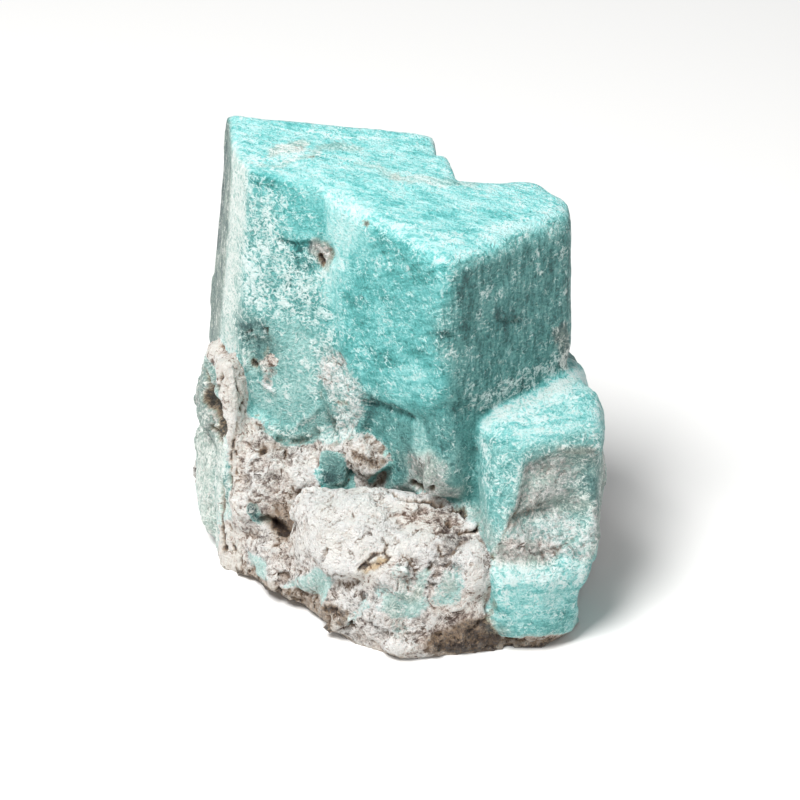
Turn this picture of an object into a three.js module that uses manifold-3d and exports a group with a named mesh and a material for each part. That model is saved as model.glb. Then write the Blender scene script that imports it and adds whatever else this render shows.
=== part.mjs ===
// Rough amazonite: blocky blue-green feldspar crystals and the white albite they grew in, all one stone.
// Two tall crystals stand side by side, a slab behind and a squarer block in front, with a low side crystal
// whose front is scooped out by an old fracture. Lumpy albite wraps the foot and makes a ledge in front.
// Millimetres, +Z up, with the block's front edge and the ledge facing -Y. The crystals and the albite
// interlock, so they are joined in one solid. The corners below are measured from a point under the block,
// and the finished stone is then moved so that the origin is the middle of its outline, on the ground.
import * as THREE from "three";
import { ConvexGeometry } from "three/addons/geometries/ConvexGeometry.js";
import { mergeVertices } from "three/addons/utils/BufferGeometryUtils.js";
import Module from "manifold-3d";

const wasm = await Module();
wasm.setup();

// ---- driving dimensions -------------------------------------------------------------------------------

const CRISP = 0.3; // rounding of the one edge that nothing has touched
const FRESH = 0.7; // rounding of a fresh crystal edge
const WORN = 1.4; // rounding of an edge that has been knocked about
const SOFT = 2.0; // rounding of the block, the most handled of the crystals
const JITTER = 0.15; // how far a chunk's corners stray from an ellipsoid, as a share of its radius
const CHUNK_CORNERS = 46; // corners before the hull drops those that lie inside
const WELD = 1e-4; // points closer than this are one
const UNDERGROUND = -2; // the cores reach down to here, and the ground then cuts them flat
const GROUND_BOX = { width: 80, height: 20 }; // all that lies below the ground is cut away with this

// ---- crystals: each is the hull of its corners, [x, y, z], those of its upper end first -------------------

const CRYSTALS = {
  // the slab behind: a narrow left face, a pale chamfer, and a broad front face that ends in a rounded nose
  slab: {
    round: FRESH,
    corners: [
      [-22.3, 20.3, 57.0],
      [-21.1, 11.9, 56.1],
      [-19.2, 7.6, 55.8],
      [-9.2, 4.2, 55.4],
      [0.0, 4.0, 55.6],
      [4.6, 12.6, 56.5],
      [4.2, 15.4, 56.6],
      [-25.9, 21.2, 22.0],
      [-24.2, 11.6, 22.0],
      [-21.6, 6.6, 24.4],
      [-19.4, 6.0, 20.8],
      [-17.4, 5.2, 18.8],
      [-15.0, 4.5, 18.0],
      [-12.4, 3.7, 18.4],
      [-10.2, 3.0, 20.0],
      [-8.0, 2.1, 23.0],
      [0.0, 2.0, 24.0],
      [5.4, 12.0, 20.0],
      [5.0, 16.8, 20.0],
    ],
  },
  // a thin growth step at the slab's right end
  shoulder: {
    round: FRESH,
    corners: [
      [-4.0, 12.5, 56.3],
      [-4.0, 4.0, 55.7],
      [6.9, 4.0, 55.8],
      [7.0, 7.5, 56.0],
      [5.9, 11.4, 56.3],
      [-4.0, 12.5, 20.0],
      [-4.0, 4.0, 20.0],
      [8.0, 4.0, 20.0],
      [8.0, 7.5, 20.0],
      [7.0, 12.2, 20.0],
    ],
  },
  // the block in front, down to its lip
  block: {
    round: SOFT,
    corners: [
      [-9.6, 4.4, 55.3],
      [5.7, -11.9, 54.1],
      [21.5, -0.5, 54.9],
      [21.4, 2.4, 55.1],
      [18.4, 5.4, 55.4],
      [12.7, 6.5, 55.6],
      [-4.0, 6.6, 55.8],
      [-7.4, 1.8, 26.4],
      [-3.0, -2.6, 26.6],
      [2.6, -8.6, 28.0],
      [5.2, -11.5, 32.4],
      [12.0, -7.4, 28.0],
      [22.1, -0.1, 30.0],
      [21.8, 4.2, 30.0],
      [18.5, 7.0, 28.0],
      [12.7, 8.0, 26.0],
      [-4.0, 8.0, 26.0],
    ],
  },
  // below its lip the block steps back and tapers to the crevice
  blockRoot: {
    round: WORN,
    corners: [
      [-5.0, 0.6, 30.0],
      [5.5, -10.9, 35.0],
      [21.2, 0.6, 36.0],
      [18.0, 6.0, 36.0],
      [-4.0, 6.0, 30.0],
      [-3.6, -0.6, 14.0],
      [8.6, -10.3, 13.0],
      [20.0, 0.0, 12.0],
      [18.0, 6.0, 12.0],
      [-2.0, 6.0, 12.0],
    ],
  },
  // the small dark crystal that shows under the slab's right end
  window: {
    round: CRISP,
    corners: [
      [-10.4, -0.8, 19.2],
      [-7.0, -1.6, 20.0],
      [-6.0, 4.0, 21.0],
      [-11.0, 4.0, 20.0],
      [-10.9, -2.4, 14.2],
      [-7.4, -3.3, 15.0],
      [-6.0, 4.0, 12.0],
      [-11.0, 4.0, 12.0],
    ],
  },
  // a low crystal that grew behind the block
  backCrystal: {
    round: WORN,
    corners: [
      [4.0, 6.0, 43.0],
      [20.0, 4.0, 42.0],
      [19.6, 13.0, 40.2],
      [9.4, 18.0, 40.8],
      [3.0, 15.6, 42.0],
      [3.0, 6.0, 10.0],
      [21.6, 4.0, 10.0],
      [21.8, 14.0, 10.0],
      [10.4, 20.2, 10.0],
      [2.0, 17.0, 10.0],
    ],
  },
  // the side crystal, low on the right, as far as its broken front
  side: {
    round: WORN,
    corners: [
      [9.6, -6.4, 29.8],
      [12.4, -12.4, 28.4],
      [25.0, -11.6, 28.4],
      [25.0, -4.0, 31.0],
      [23.8, -0.6, 32.0],
      [22.0, 10.0, 31.0],
      [8.0, 10.0, 31.0],
      [9.4, -8.0, 6.0],
      [12.0, -18.0, 11.0],
      [24.2, -16.2, 11.0],
      [26.5, -8.0, 18.0],
      [25.4, -7.0, 9.0],
      [24.8, 0.0, 6.0],
      [23.0, 12.0, 4.0],
      [8.0, 12.0, 4.0],
    ],
  },
  // what is left of the side crystal's front: a lip along the top, and a strip down the left to a point
  sideLip: {
    round: WORN,
    corners: [
      [10.6, -8.6, 29.5],
      [12.2, -13.1, 28.7],
      [18.9, -13.9, 28.8],
      [25.3, -12.6, 28.9],
      [25.2, -4.0, 31.0],
      [16.0, -2.0, 31.0],
      [11.2, -10.0, 24.0],
      [12.6, -13.9, 25.0],
      [19.0, -14.2, 26.0],
      [26.0, -12.4, 25.6],
      [26.0, -4.0, 26.0],
    ],
  },
  sideStrip: {
    round: FRESH,
    corners: [
      [9.9, -8.0, 28.6],
      [12.0, -13.2, 28.2],
      [16.2, -14.2, 27.4],
      [16.0, -8.0, 28.0],
      [10.5, -12.4, 19.0],
      [11.4, -15.4, 17.4],
      [12.8, -17.2, 14.4],
      [15.2, -15.6, 21.4],
      [13.0, -9.0, 16.0],
    ],
  },
  // the fresh block below the scoop
  sideStep: {
    round: WORN,
    corners: [
      [11.8, -12.0, 13.2],
      [11.8, -19.0, 12.8],
      [18.6, -19.6, 12.6],
      [24.4, -16.8, 12.6],
      [25.6, -8.0, 13.0],
      [12.0, -12.0, 0.2],
      [12.4, -19.4, 2.2],
      [17.8, -19.8, 1.2],
      [22.6, -17.2, 1.0],
      [24.0, -8.0, 0.2],
    ],
  },
  // a stubby crystal at the foot of the back, leaning out of the albite
  heel: {
    round: WORN,
    corners: [
      [-15.6, 14.0, 17.6],
      [-5.4, 14.0, 16.0],
      [-4.0, 20.0, 13.4],
      [-9.4, 21.4, 13.0],
      [-15.0, 19.6, 14.6],
      [-15.0, 12.0, 1.0],
      [-5.0, 12.0, 1.0],
      [-3.4, 20.6, 3.6],
      [-8.8, 21.9, 2.8],
      [-14.2, 20.4, 3.8],
    ],
  },
  // two weathered crystals on the left flank, one above the other
  flankUpper: {
    round: WORN,
    corners: [
      [-25.0, 13.0, 28.0],
      [-24.2, 8.4, 27.6],
      [-22.0, 6.0, 26.0],
      [-20.0, 12.0, 28.0],
      [-27.6, 14.0, 16.0],
      [-27.3, 8.8, 17.0],
      [-23.4, 4.6, 14.0],
      [-18.0, 12.0, 14.0],
    ],
  },
  flankLower: {
    round: WORN,
    corners: [
      [-26.6, 14.0, 14.6],
      [-26.3, 8.2, 13.0],
      [-23.0, 3.8, 14.0],
      [-18.0, 12.0, 15.0],
      [-27.9, 12.0, 5.4],
      [-27.8, 7.2, 6.0],
      [-25.2, 3.0, 1.4],
      [-18.0, 10.0, 1.0],
    ],
  },
};

// ---- albite: cores that carry the form, made as the crystals are, and chunks grown on them --------------

const CORES = {
  // the bulk under and behind the crystals
  back: {
    round: SOFT,
    corners: [
      [-24.0, 18.0, 26.0],
      [-21.4, 8.6, 22.0],
      [-12.0, 6.0, 18.0],
      [-6.0, 3.0, 21.0],
      [10.0, 2.0, 22.0],
      [-10.0, -4.0, 9.6],
      [20.0, 8.0, 26.0],
      [10.0, 17.0, 24.0],
      [-14.0, 18.4, 28.0],
      [-23.0, 14.0, UNDERGROUND],
      [-21.0, 1.0, UNDERGROUND],
      [-8.0, -9.0, UNDERGROUND],
      [14.0, -14.0, UNDERGROUND],
      [21.6, 4.0, UNDERGROUND],
      [10.0, 17.0, UNDERGROUND],
      [-12.0, 18.0, UNDERGROUND],
    ],
  },
  // the corner under the slab's back
  backCorner: {
    round: WORN,
    corners: [
      [-25.4, 20.4, 25.0],
      [-24.6, 12.0, 25.0],
      [-14.0, 19.4, 26.0],
      [-25.4, 18.6, 8.0],
      [-23.0, 18.0, UNDERGROUND],
      [-22.0, 8.0, UNDERGROUND],
      [-12.0, 18.6, UNDERGROUND],
    ],
  },
  // the pinkish slope below the slab's nose
  slope: {
    round: WORN,
    corners: [
      [-21.6, 4.2, 19.4],
      [-16.0, 4.0, 16.8],
      [-11.0, 2.6, 16.6],
      [-8.0, 5.0, 18.0],
      [-20.0, 8.0, 22.0],
      [-21.8, -3.4, UNDERGROUND],
      [-13.4, -10.0, UNDERGROUND],
      [-4.0, -6.0, UNDERGROUND],
      [-18.0, 6.0, UNDERGROUND],
    ],
  },
  // the crust between the slab and the block, and the white wedge below it
  crust: {
    round: FRESH,
    corners: [
      [-9.8, 3.0, 30.8],
      [-5.8, 0.1, 30.2],
      [-4.2, -1.3, 25.0],
      [-5.4, -0.8, 20.0],
      [-8.8, 1.0, 20.4],
      [-10.0, 2.6, 26.0],
      [-8.0, 6.0, 30.0],
      [-3.0, 3.0, 28.0],
      [-3.0, 6.0, 20.0],
    ],
  },
  wedge: {
    round: FRESH,
    corners: [
      [-7.6, -0.8, 21.2],
      [-3.2, -3.0, 21.8],
      [-1.4, -4.0, 19.4],
      [-3.6, -5.0, 17.2],
      [-7.0, -2.8, 18.6],
      [-6.0, 2.0, 21.0],
      [-2.0, 2.0, 17.0],
      [-5.2, -3.4, 15.0],
    ],
  },
  // the ledge in front, sloping down to the left
  ledge: {
    round: SOFT,
    corners: [
      [-13.4, -3.6, 15.4],
      [-13.4, -8.6, 12.4],
      [-9.6, -13.4, 8.8],
      [-4.0, -17.6, 11.0],
      [3.0, -18.8, 11.4],
      [9.8, -18.0, 11.4],
      [11.0, -10.0, 16.8],
      [4.0, -8.4, 17.2],
      [-4.0, -5.6, 17.6],
      [-15.0, -6.4, UNDERGROUND],
      [-12.4, -10.4, UNDERGROUND],
      [-6.6, -17.2, UNDERGROUND],
      [1.6, -21.0, UNDERGROUND],
      [14.0, -18.0, UNDERGROUND],
      [14.0, -6.0, UNDERGROUND],
    ],
  },
  // the beige rib that runs down the left corner
  rib: {
    round: FRESH,
    corners: [
      [-24.2, 7.6, 28.0],
      [-22.6, 5.2, 29.4],
      [-20.8, 6.2, 27.0],
      [-21.0, 10.0, 28.0],
      [-25.0, 3.4, UNDERGROUND],
      [-23.6, -1.6, UNDERGROUND],
      [-20.8, -2.4, UNDERGROUND],
      [-18.0, 6.0, UNDERGROUND],
    ],
  },
};

// A chunk: its middle, its half sizes, its turn about Z and its tip about X in degrees, and a seed.
const CHUNKS = [
  // the big white lump on the ledge
  { at: [-5.0, -10.2, 11.0], half: [8.0, 6.6, 6.2], turn: -34, tip: 20, seed: 3 },
  { at: [-1.0, -13.6, 9.6], half: [6.4, 4.8, 5.8], turn: -14, tip: 16, seed: 5 },
  { at: [4.0, -12.6, 11.0], half: [6.0, 5.6, 5.6], turn: 16, tip: 12, seed: 8 },
  { at: [-10.4, -7.0, 10.4], half: [4.6, 3.8, 4.8], turn: -40, tip: 6, seed: 11 },
  // the cream lump beside the side crystal, and the small knobs in the crevice
  { at: [9.2, -15.4, 9.4], half: [3.4, 3.4, 5.2], turn: 10, tip: 8, seed: 14 },
  { at: [9.0, -12.4, 14.2], half: [2.8, 2.4, 2.2], turn: 35, tip: 0, seed: 15 },
  { at: [4.9, -9.3, 20.4], half: [2.5, 1.6, 2.7], turn: 30, tip: -10, seed: 16 },
  // the foot of the ledge, from left to right
  { at: [-14.8, -7.0, 2.6], half: [4.8, 2.8, 3.6], turn: -38, tip: 10, seed: 21 },
  { at: [-10.6, -10.2, 4.2], half: [3.4, 2.4, 3.2], turn: -38, tip: 12, seed: 22 },
  { at: [-6.0, -14.4, 3.8], half: [4.6, 3.8, 4.6], turn: -26, tip: 10, seed: 23 },
  { at: [-1.4, -16.6, 4.4], half: [4.4, 4.0, 4.4], turn: -8, tip: 8, seed: 24 },
  { at: [1.8, -18.0, 2.0], half: [4.4, 3.5, 3.4], turn: 4, tip: 0, seed: 25 },
  { at: [6.0, -16.8, 4.4], half: [4.6, 3.2, 4.4], turn: 8, tip: 8, seed: 26 },
  { at: [9.8, -16.6, 3.0], half: [3.6, 3.0, 4.0], turn: 0, tip: 0, seed: 27 },
  { at: [16.6, -13.6, 0.4], half: [6.6, 5.0, 1.9], turn: 6, tip: 0, seed: 28 },
  // the slope: broad low lumps above and below its hole
  { at: [-17.2, 4.2, 13.0], half: [5.4, 3.4, 5.4], turn: -14, tip: 30, seed: 31 },
  { at: [-12.2, 2.0, 12.6], half: [4.8, 3.4, 4.8], turn: -24, tip: 30, seed: 32 },
  { at: [-19.0, 1.0, 7.4], half: [4.0, 3.4, 6.4], turn: -24, tip: 30, seed: 33 },
  { at: [-15.6, -3.6, 4.6], half: [4.8, 3.4, 3.6], turn: -34, tip: 28, seed: 34 },
  // the left flank
  { at: [-24.2, 11.0, 19.0], half: [3.0, 4.6, 5.4], turn: 0, tip: 0, seed: 41 },
  { at: [-24.6, 8.0, 4.4], half: [3.0, 4.6, 4.6], turn: 0, tip: 0, seed: 42 },
  { at: [-23.4, 16.2, 9.8], half: [3.6, 5.0, 7.4], turn: 10, tip: 0, seed: 43 },
  // the back, where albite covers the crystals' feet
  { at: [-17.4, 16.4, 12.0], half: [7.4, 4.8, 9.6], turn: -14, tip: -10, seed: 51 },
  { at: [-6.6, 17.0, 8.8], half: [8.0, 4.4, 8.4], turn: 6, tip: -8, seed: 52 },
  { at: [4.6, 17.4, 7.0], half: [7.4, 4.0, 7.4], turn: -6, tip: -10, seed: 53 },
  { at: [13.4, 14.6, 8.0], half: [6.4, 5.2, 8.6], turn: -24, tip: 0, seed: 54 },
  { at: [-9.4, 16.4, 22.4], half: [6.4, 4.2, 8.0], turn: 4, tip: -8, seed: 55 },
  { at: [1.4, 16.0, 25.0], half: [4.6, 4.2, 9.4], turn: 0, tip: -6, seed: 56 },
  { at: [-3.4, 16.6, 17.0], half: [6.0, 4.0, 6.0], turn: 10, tip: 0, seed: 57 },
  // the right flank behind the side crystal
  { at: [20.0, 8.4, 11.4], half: [5.2, 6.4, 10.0], turn: 15, tip: 0, seed: 61 },
  { at: [21.4, 2.4, 5.6], half: [4.2, 7.0, 6.6], turn: 5, tip: 0, seed: 62 },
];

// ---- what is broken or weathered away, in the shape of such chunks --------------------------------------

const HOLLOWS = [
  // the scoop in the side crystal's front
  { at: [20.2, -18.6, 20.0], half: [7.0, 5.0, 6.6], turn: 8, tip: 0, seed: 71 },
  // the broken patch on the slab's front face
  { at: [-18.8, 4.1, 30.4], half: [3.0, 2.1, 3.8], turn: -18, tip: 0, seed: 72 },
  // the pit where the slab meets the block
  { at: [-9.4, 2.4, 46.4], half: [1.3, 1.5, 2.0], turn: -30, tip: 0, seed: 73 },
  // the hole through the slope, and the one at the foot
  { at: [-15.9, -7.4, 10.4], half: [1.9, 3.6, 1.7], turn: -24, tip: 0, seed: 74 },
  { at: [-15.8, -10.0, 4.4], half: [1.0, 2.2, 1.0], turn: -30, tip: 0, seed: 75 },
  // the crevice under the block
  { at: [4.4, -12.4, 17.4], half: [4.4, 3.4, 1.2], turn: 20, tip: -8, seed: 76 },
  // the weathered underside along the left of the foot
  { at: [-16.4, -9.6, -0.6], half: [12.0, 4.4, 1.8], turn: -38, tip: 0, seed: 77 },
];

// ---- making -------------------------------------------------------------------------------------------

const GOLDEN_ANGLE = Math.PI * (3 - Math.sqrt(5)); // the turn between points spread evenly over a sphere

// A number from 0 to 1 that looks random and is the same each run.
function hash(seed, index) {
  const mixed = Math.sin(seed * 127.1 + index * 311.7) * 43758.5453;
  return mixed - Math.floor(mixed);
}

// A closed three.js geometry as a manifold-3d solid.
function solidOf(geometry) {
  const bare = new THREE.BufferGeometry().setAttribute("position", geometry.getAttribute("position"));
  if (geometry.index) bare.setIndex(geometry.index);
  const merged = mergeVertices(bare, WELD);
  return new wasm.Manifold(
    new wasm.Mesh({
      numProp: 3,
      vertProperties: new Float32Array(merged.attributes.position.array),
      triVerts: new Uint32Array(merged.index.array),
    }),
  );
}

// A manifold-3d solid as a three.js geometry.
function geometryOf(solid) {
  const mesh = solid.getMesh();
  const points = new Float32Array(mesh.numVert * 3);
  for (let i = 0; i < mesh.numVert; i++)
    points.set(mesh.vertProperties.subarray(i * mesh.numProp, i * mesh.numProp + 3), i * 3);
  return new THREE.BufferGeometry()
    .setAttribute("position", new THREE.BufferAttribute(points, 3))
    .setIndex(new THREE.BufferAttribute(mesh.triVerts, 1));
}

// A crystal: the hull of small balls that touch its corners from inside, so its faces are flat and its
// edges round.
function crystal({ corners, round }) {
  const ball = new THREE.IcosahedronGeometry(round, 1).getAttribute("position");
  const tips = corners.map((corner) => new THREE.Vector3(...corner));
  const middle = new THREE.Vector3();
  tips.forEach((tip) => middle.addScaledVector(tip, 1 / tips.length));
  const points = [];
  for (const tip of tips) {
    const inwards = middle.clone().sub(tip);
    const level = new THREE.Vector3(inwards.x, inwards.y, 0).setLength(round);
    const centre = tip.clone().add(level);
    centre.z += Math.sign(inwards.z) * round;
    for (let i = 0; i < ball.count; i++)
      points.push(new THREE.Vector3().fromBufferAttribute(ball, i).add(centre));
  }
  return solidOf(new ConvexGeometry(points));
}

// A chunk: the hull of points spread evenly over an ellipsoid and then jittered, so it has blunt flat sides.
function chunk({ at, half, turn, tip, seed }) {
  const turned = new THREE.Matrix4().makeRotationZ(THREE.MathUtils.degToRad(turn));
  turned.multiply(new THREE.Matrix4().makeRotationX(THREE.MathUtils.degToRad(tip)));
  const points = [];
  for (let i = 0; i < CHUNK_CORNERS; i++) {
    const height = 1 - (2 * i + 1) / CHUNK_CORNERS;
    const girth = Math.sqrt(1 - height * height);
    const angle = i * GOLDEN_ANGLE + seed;
    const point = new THREE.Vector3(Math.cos(angle) * girth, Math.sin(angle) * girth, height);
    point.multiplyScalar(1 + JITTER * (2 * hash(seed, i) - 1));
    point.multiply(new THREE.Vector3(...half)).applyMatrix4(turned);
    points.push(point.add(new THREE.Vector3(...at)));
  }
  return solidOf(new ConvexGeometry(points));
}

function ground() {
  const box = new THREE.BoxGeometry(GROUND_BOX.width, GROUND_BOX.width, GROUND_BOX.height);
  return solidOf(box.translate(0, 0, -GROUND_BOX.height / 2));
}

let stone = [...Object.values(CRYSTALS), ...Object.values(CORES)].map(crystal).reduce((a, b) => a.add(b));
for (const part of CHUNKS) stone = stone.add(chunk(part));
for (const hollow of HOLLOWS) stone = stone.subtract(chunk(hollow));
stone = stone.subtract(ground());

const geometry = geometryOf(stone);
geometry.computeBoundingBox();
const middle = geometry.boundingBox.getCenter(new THREE.Vector3());
geometry.translate(-middle.x, -middle.y, 0);

const material = new THREE.MeshStandardMaterial({ color: 0x7fc0ba, roughness: 0.55, metalness: 0 });
const mesh = new THREE.Mesh(geometry, material);
mesh.name = "rough_amazonite";

const group = new THREE.Group();
group.add(mesh);
export default group;
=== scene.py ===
# %% [markdown]
# # A rough amazonite
# Amazonite is a potash feldspar, coloured blue-green by a trace of lead. It grows in blocky crystals whose
# broken faces shine a little, and white albite, the soda feldspar, grows into it as a sugary crust. Both
# are hard, brittle and dull where they are weathered. The plain faceted solid that this lesson starts from
# has the crystals and the lumps, and the lesson gives them their skin: first the shape of every small
# thing that catches light, then the minerals' colours, then the light itself.

# %% The solid that everything is fitted to
import math

import bmesh
import bpy
import numpy as np
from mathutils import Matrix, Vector, noise
from mathutils.bvhtree import BVHTree


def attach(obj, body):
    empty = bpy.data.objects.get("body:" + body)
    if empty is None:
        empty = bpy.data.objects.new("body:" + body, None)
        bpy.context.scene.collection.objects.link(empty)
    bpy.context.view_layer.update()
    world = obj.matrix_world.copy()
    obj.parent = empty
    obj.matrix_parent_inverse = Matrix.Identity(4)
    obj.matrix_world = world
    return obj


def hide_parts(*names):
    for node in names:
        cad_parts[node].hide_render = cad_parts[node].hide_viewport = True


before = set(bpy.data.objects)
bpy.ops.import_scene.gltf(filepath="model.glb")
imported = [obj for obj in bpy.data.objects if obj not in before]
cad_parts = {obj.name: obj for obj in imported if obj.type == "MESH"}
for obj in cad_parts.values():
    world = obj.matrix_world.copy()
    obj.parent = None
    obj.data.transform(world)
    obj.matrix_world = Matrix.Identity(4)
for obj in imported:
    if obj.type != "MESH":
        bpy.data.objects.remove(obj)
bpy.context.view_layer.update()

NODE = "rough_amazonite"
MM = 0.001  # one millimetre in Blender's metres

# %% [markdown]
# ## The camera
# The camera comes first, because the marks on the stone are placed by where they should be seen. It looks
# down at the stone from a hand's height, from far enough away that the upright edges stay nearly parallel.
# The focal length follows from how wide a strip of table the picture should take in.

# %% The camera
PICTURE = 800  # the picture is this many pixels wide and high
TILT = math.radians(33)  # how far above the table's plane the eye is
DISTANCE = 430 * MM
STRIP = 104 * MM  # what the picture is wide at the stone
LOOK_AT = Vector((0.745, -0.26, 26.3)) * MM
SENSOR = 36  # millimetres of film, the usual full frame

towards_eye = Vector((0, -math.cos(TILT), math.sin(TILT)))
picture_up = Vector((0, math.sin(TILT), math.cos(TILT)))
picture_right = Vector((1, 0, 0))
eye = LOOK_AT + towards_eye * DISTANCE

camera = bpy.data.objects.new("camera", bpy.data.cameras.new("camera"))
camera.data.sensor_width = SENSOR
camera.data.lens = SENSOR * DISTANCE / STRIP
camera.location = eye
camera.rotation_mode = "QUATERNION"
camera.rotation_quaternion = (-towards_eye).to_track_quat("-Z", "Y")
bpy.context.scene.collection.objects.link(camera)
bpy.context.scene.camera = camera
print("the lens is", round(camera.data.lens, 1), "mm")

# %% [markdown]
# ## A fine skin
# The solid has a few thousand big triangles, which is right for physics and too coarse for a surface. A
# voxel remesh wraps it in small even quads, about 0.4 mm wide, and welds everything into
# one closed skin. Subdividing would keep the long thin triangles and the inner edges, so remeshing suits
# a stone better. The imported triangles are loose, so their corners are merged first.

# %% Wrap the solid in small quads
VOXEL = 0.39 * MM


def keep_result(piece):
    """Makes what the piece's modifiers give its own plain mesh, and removes them."""
    graph = bpy.context.evaluated_depsgraph_get()
    mesh = bpy.data.meshes.new_from_object(piece.evaluated_get(graph))
    piece.modifiers.clear()
    piece.data = mesh


solid = bmesh.new()
solid.from_mesh(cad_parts[NODE].data)
bmesh.ops.remove_doubles(solid, verts=solid.verts, dist=0.001 * MM)
mesh = bpy.data.meshes.new("stone")
solid.to_mesh(mesh)
solid.free()

stone = bpy.data.objects.new("stone", mesh)
bpy.context.scene.collection.objects.link(stone)
remesh = stone.modifiers.new("skin", "REMESH")
remesh.mode = "VOXEL"
remesh.voxel_size = VOXEL
keep_result(stone)
print("the skin has", len(stone.data.polygons), "quads")

# %% [markdown]
# ## Arrays to work with
# Sculpting in code means asking the same question of every point at once: how far is it from this mark,
# which way does it face? Numpy answers for all points together. `spread` mixes each value with those of
# the points beside it, which softens anything: normals, heights or colours.

# %% Points, normals and neighbours
def points_of(mesh):
    """Every point of the mesh, in millimetres."""
    flat = np.empty(len(mesh.vertices) * 3, np.float32)
    mesh.vertices.foreach_get("co", flat)
    return flat.reshape(-1, 3).astype(float) / MM


def normals_of(mesh):
    flat = np.empty(len(mesh.vertices) * 3, np.float32)
    mesh.vertex_normals.foreach_get("vector", flat)
    return flat.reshape(-1, 3).astype(float)


def edges_of(mesh):
    flat = np.empty(len(mesh.edges) * 2, np.int32)
    mesh.edges.foreach_get("vertices", flat)
    return flat.reshape(-1, 2)


def spread(values, edges, times):
    """Mixes each point's value evenly with the mean of its neighbours', a number of times over."""
    count = len(values)
    beside = np.bincount(edges.ravel(), minlength=count)
    mixed = values.reshape(count, -1).astype(float)
    for _ in range(times):
        total = np.empty_like(mixed)
        for column in range(mixed.shape[1]):
            one = mixed[:, column]
            total[:, column] = np.bincount(edges[:, 0], one[edges[:, 1]], count)
            total[:, column] += np.bincount(edges[:, 1], one[edges[:, 0]], count)
        mixed = 0.5 * mixed + 0.5 * total / beside[:, None]
    return mixed.reshape(values.shape)


def unit(vectors):
    return vectors / np.linalg.norm(vectors, axis=-1, keepdims=True)


def survey(mesh):
    """Looks at the mesh as it is now: its points, which way each faces, and what a ray can hit."""
    global place, edges, facing, quads, surface
    place = points_of(mesh)
    edges = edges_of(mesh)
    facing = unit(spread(normals_of(mesh), edges, 8))
    quads = [tuple(polygon.vertices) for polygon in mesh.polygons]
    surface = BVHTree.FromPolygons([point.co for point in mesh.vertices], quads)


survey(stone.data)
print(len(place), "points")

# %% [markdown]
# ## Marks on a stone
# A mark is a stroke on the surface: a few points with a width. On the front, a point is given as (u, v),
# where it is seen in the picture, and the ray from the eye through that pixel finds its place on the
# stone. On the hidden sides it is given as (x, y, z) in millimetres and moved to the nearest surface. Two
# measures make a stroke behave like paint on stone. It counts a turn of the surface as distance, so it
# doesn't run over a crystal's edge, and a little noise makes its rim uneven, as a natural contact is.

# %% Find a mark's place, and how far every point is from it
TURN = 7.0  # millimetres that a quarter turn of the surface counts as
SWING_SIZE = 2.6  # millimetres between the swings of a mark's line
SWING = 0.75  # and how far it swings
RIM_SIZE = 0.9  # millimetres between the small bays of its rim
SEED = 2  # fixes the noise, which would differ from run to run without one
noise.seed_set(SEED)
RIM_DEPTH = 0.35  # and how far they reach in


def seen_at(u, v):
    """What the ray through this point of the picture hits."""
    across = (u / PICTURE - 0.5) * STRIP / DISTANCE
    upwards = (0.5 - v / PICTURE) * STRIP / DISTANCE
    ray = (picture_right * across + picture_up * upwards - towards_eye).normalized()
    return surface.ray_cast(eye, ray)


def on_stone(spot):
    """The place in millimetres and the facing of a spot given as (u, v) or as (x, y, z)."""
    if len(spot) == 3:
        hit, _, quad, _ = surface.find_nearest(Vector(spot) * MM)
    for inwards in np.linspace(0, 0.1, 21) if len(spot) == 2 else ():
        middle = PICTURE / 2
        hit, _, quad, _ = seen_at(*(end + inwards * (middle - end) for end in spot))
        if hit is not None:
            break
    if hit is None:
        raise ValueError(f"the spot {spot} isn't on the stone")
    return np.array(hit) / MM, unit(facing[list(quads[quad])].mean(axis=0))


def stir():
    """Works out the noise that makes marks uneven, for the points as they are now."""
    global swung, rim_noise
    swung = place + SWING * np.array([noise.noise_vector(spot) for spot in place / SWING_SIZE])
    rim_noise = np.array([noise.noise(spot) for spot in place / RIM_SIZE])


stir()


def reach(*spots, rim=RIM_DEPTH, turn=TURN):
    """How far every point of the stone is from the stroke through these spots, in millimetres."""
    ends = [on_stone(spot) for spot in spots]
    if len(ends) == 1:
        ends = ends * 2
    nearest = np.full(len(place), np.inf)
    for (start, start_facing), (end, end_facing) in zip(ends, ends[1:]):
        along = end - start
        share = np.clip((swung - start) @ along / max(along @ along, 1e-9), 0, 1)[:, None]
        gap = np.linalg.norm(swung - start - share * along, axis=1)
        there = unit(start_facing + share * (end_facing - start_facing))
        turned = 1 - np.einsum("ij,ij->i", facing, there)
        nearest = np.minimum(nearest, np.hypot(gap, turn * turned))
    return nearest + rim * rim_noise


def fade(distance, half, soft):
    """1 within half a stroke's width, falling smoothly to 0 over the soft rim."""
    share = np.clip((half + soft - distance) / soft, 0, 1)
    return share * share * (3 - 2 * share)


# %% [markdown]
# ## Large corrections
# Some faces stand a little further out or in than the flat-faced solid's, a knob runs softly up into the
# crystal it grew on, and some edges are worn. All of this happens before anything is drawn on the skin,
# so that the zones and marks that follow lie on the true shape. A modifier smooths where the vertex group
# says, which is what water and handling do to an edge.

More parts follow.
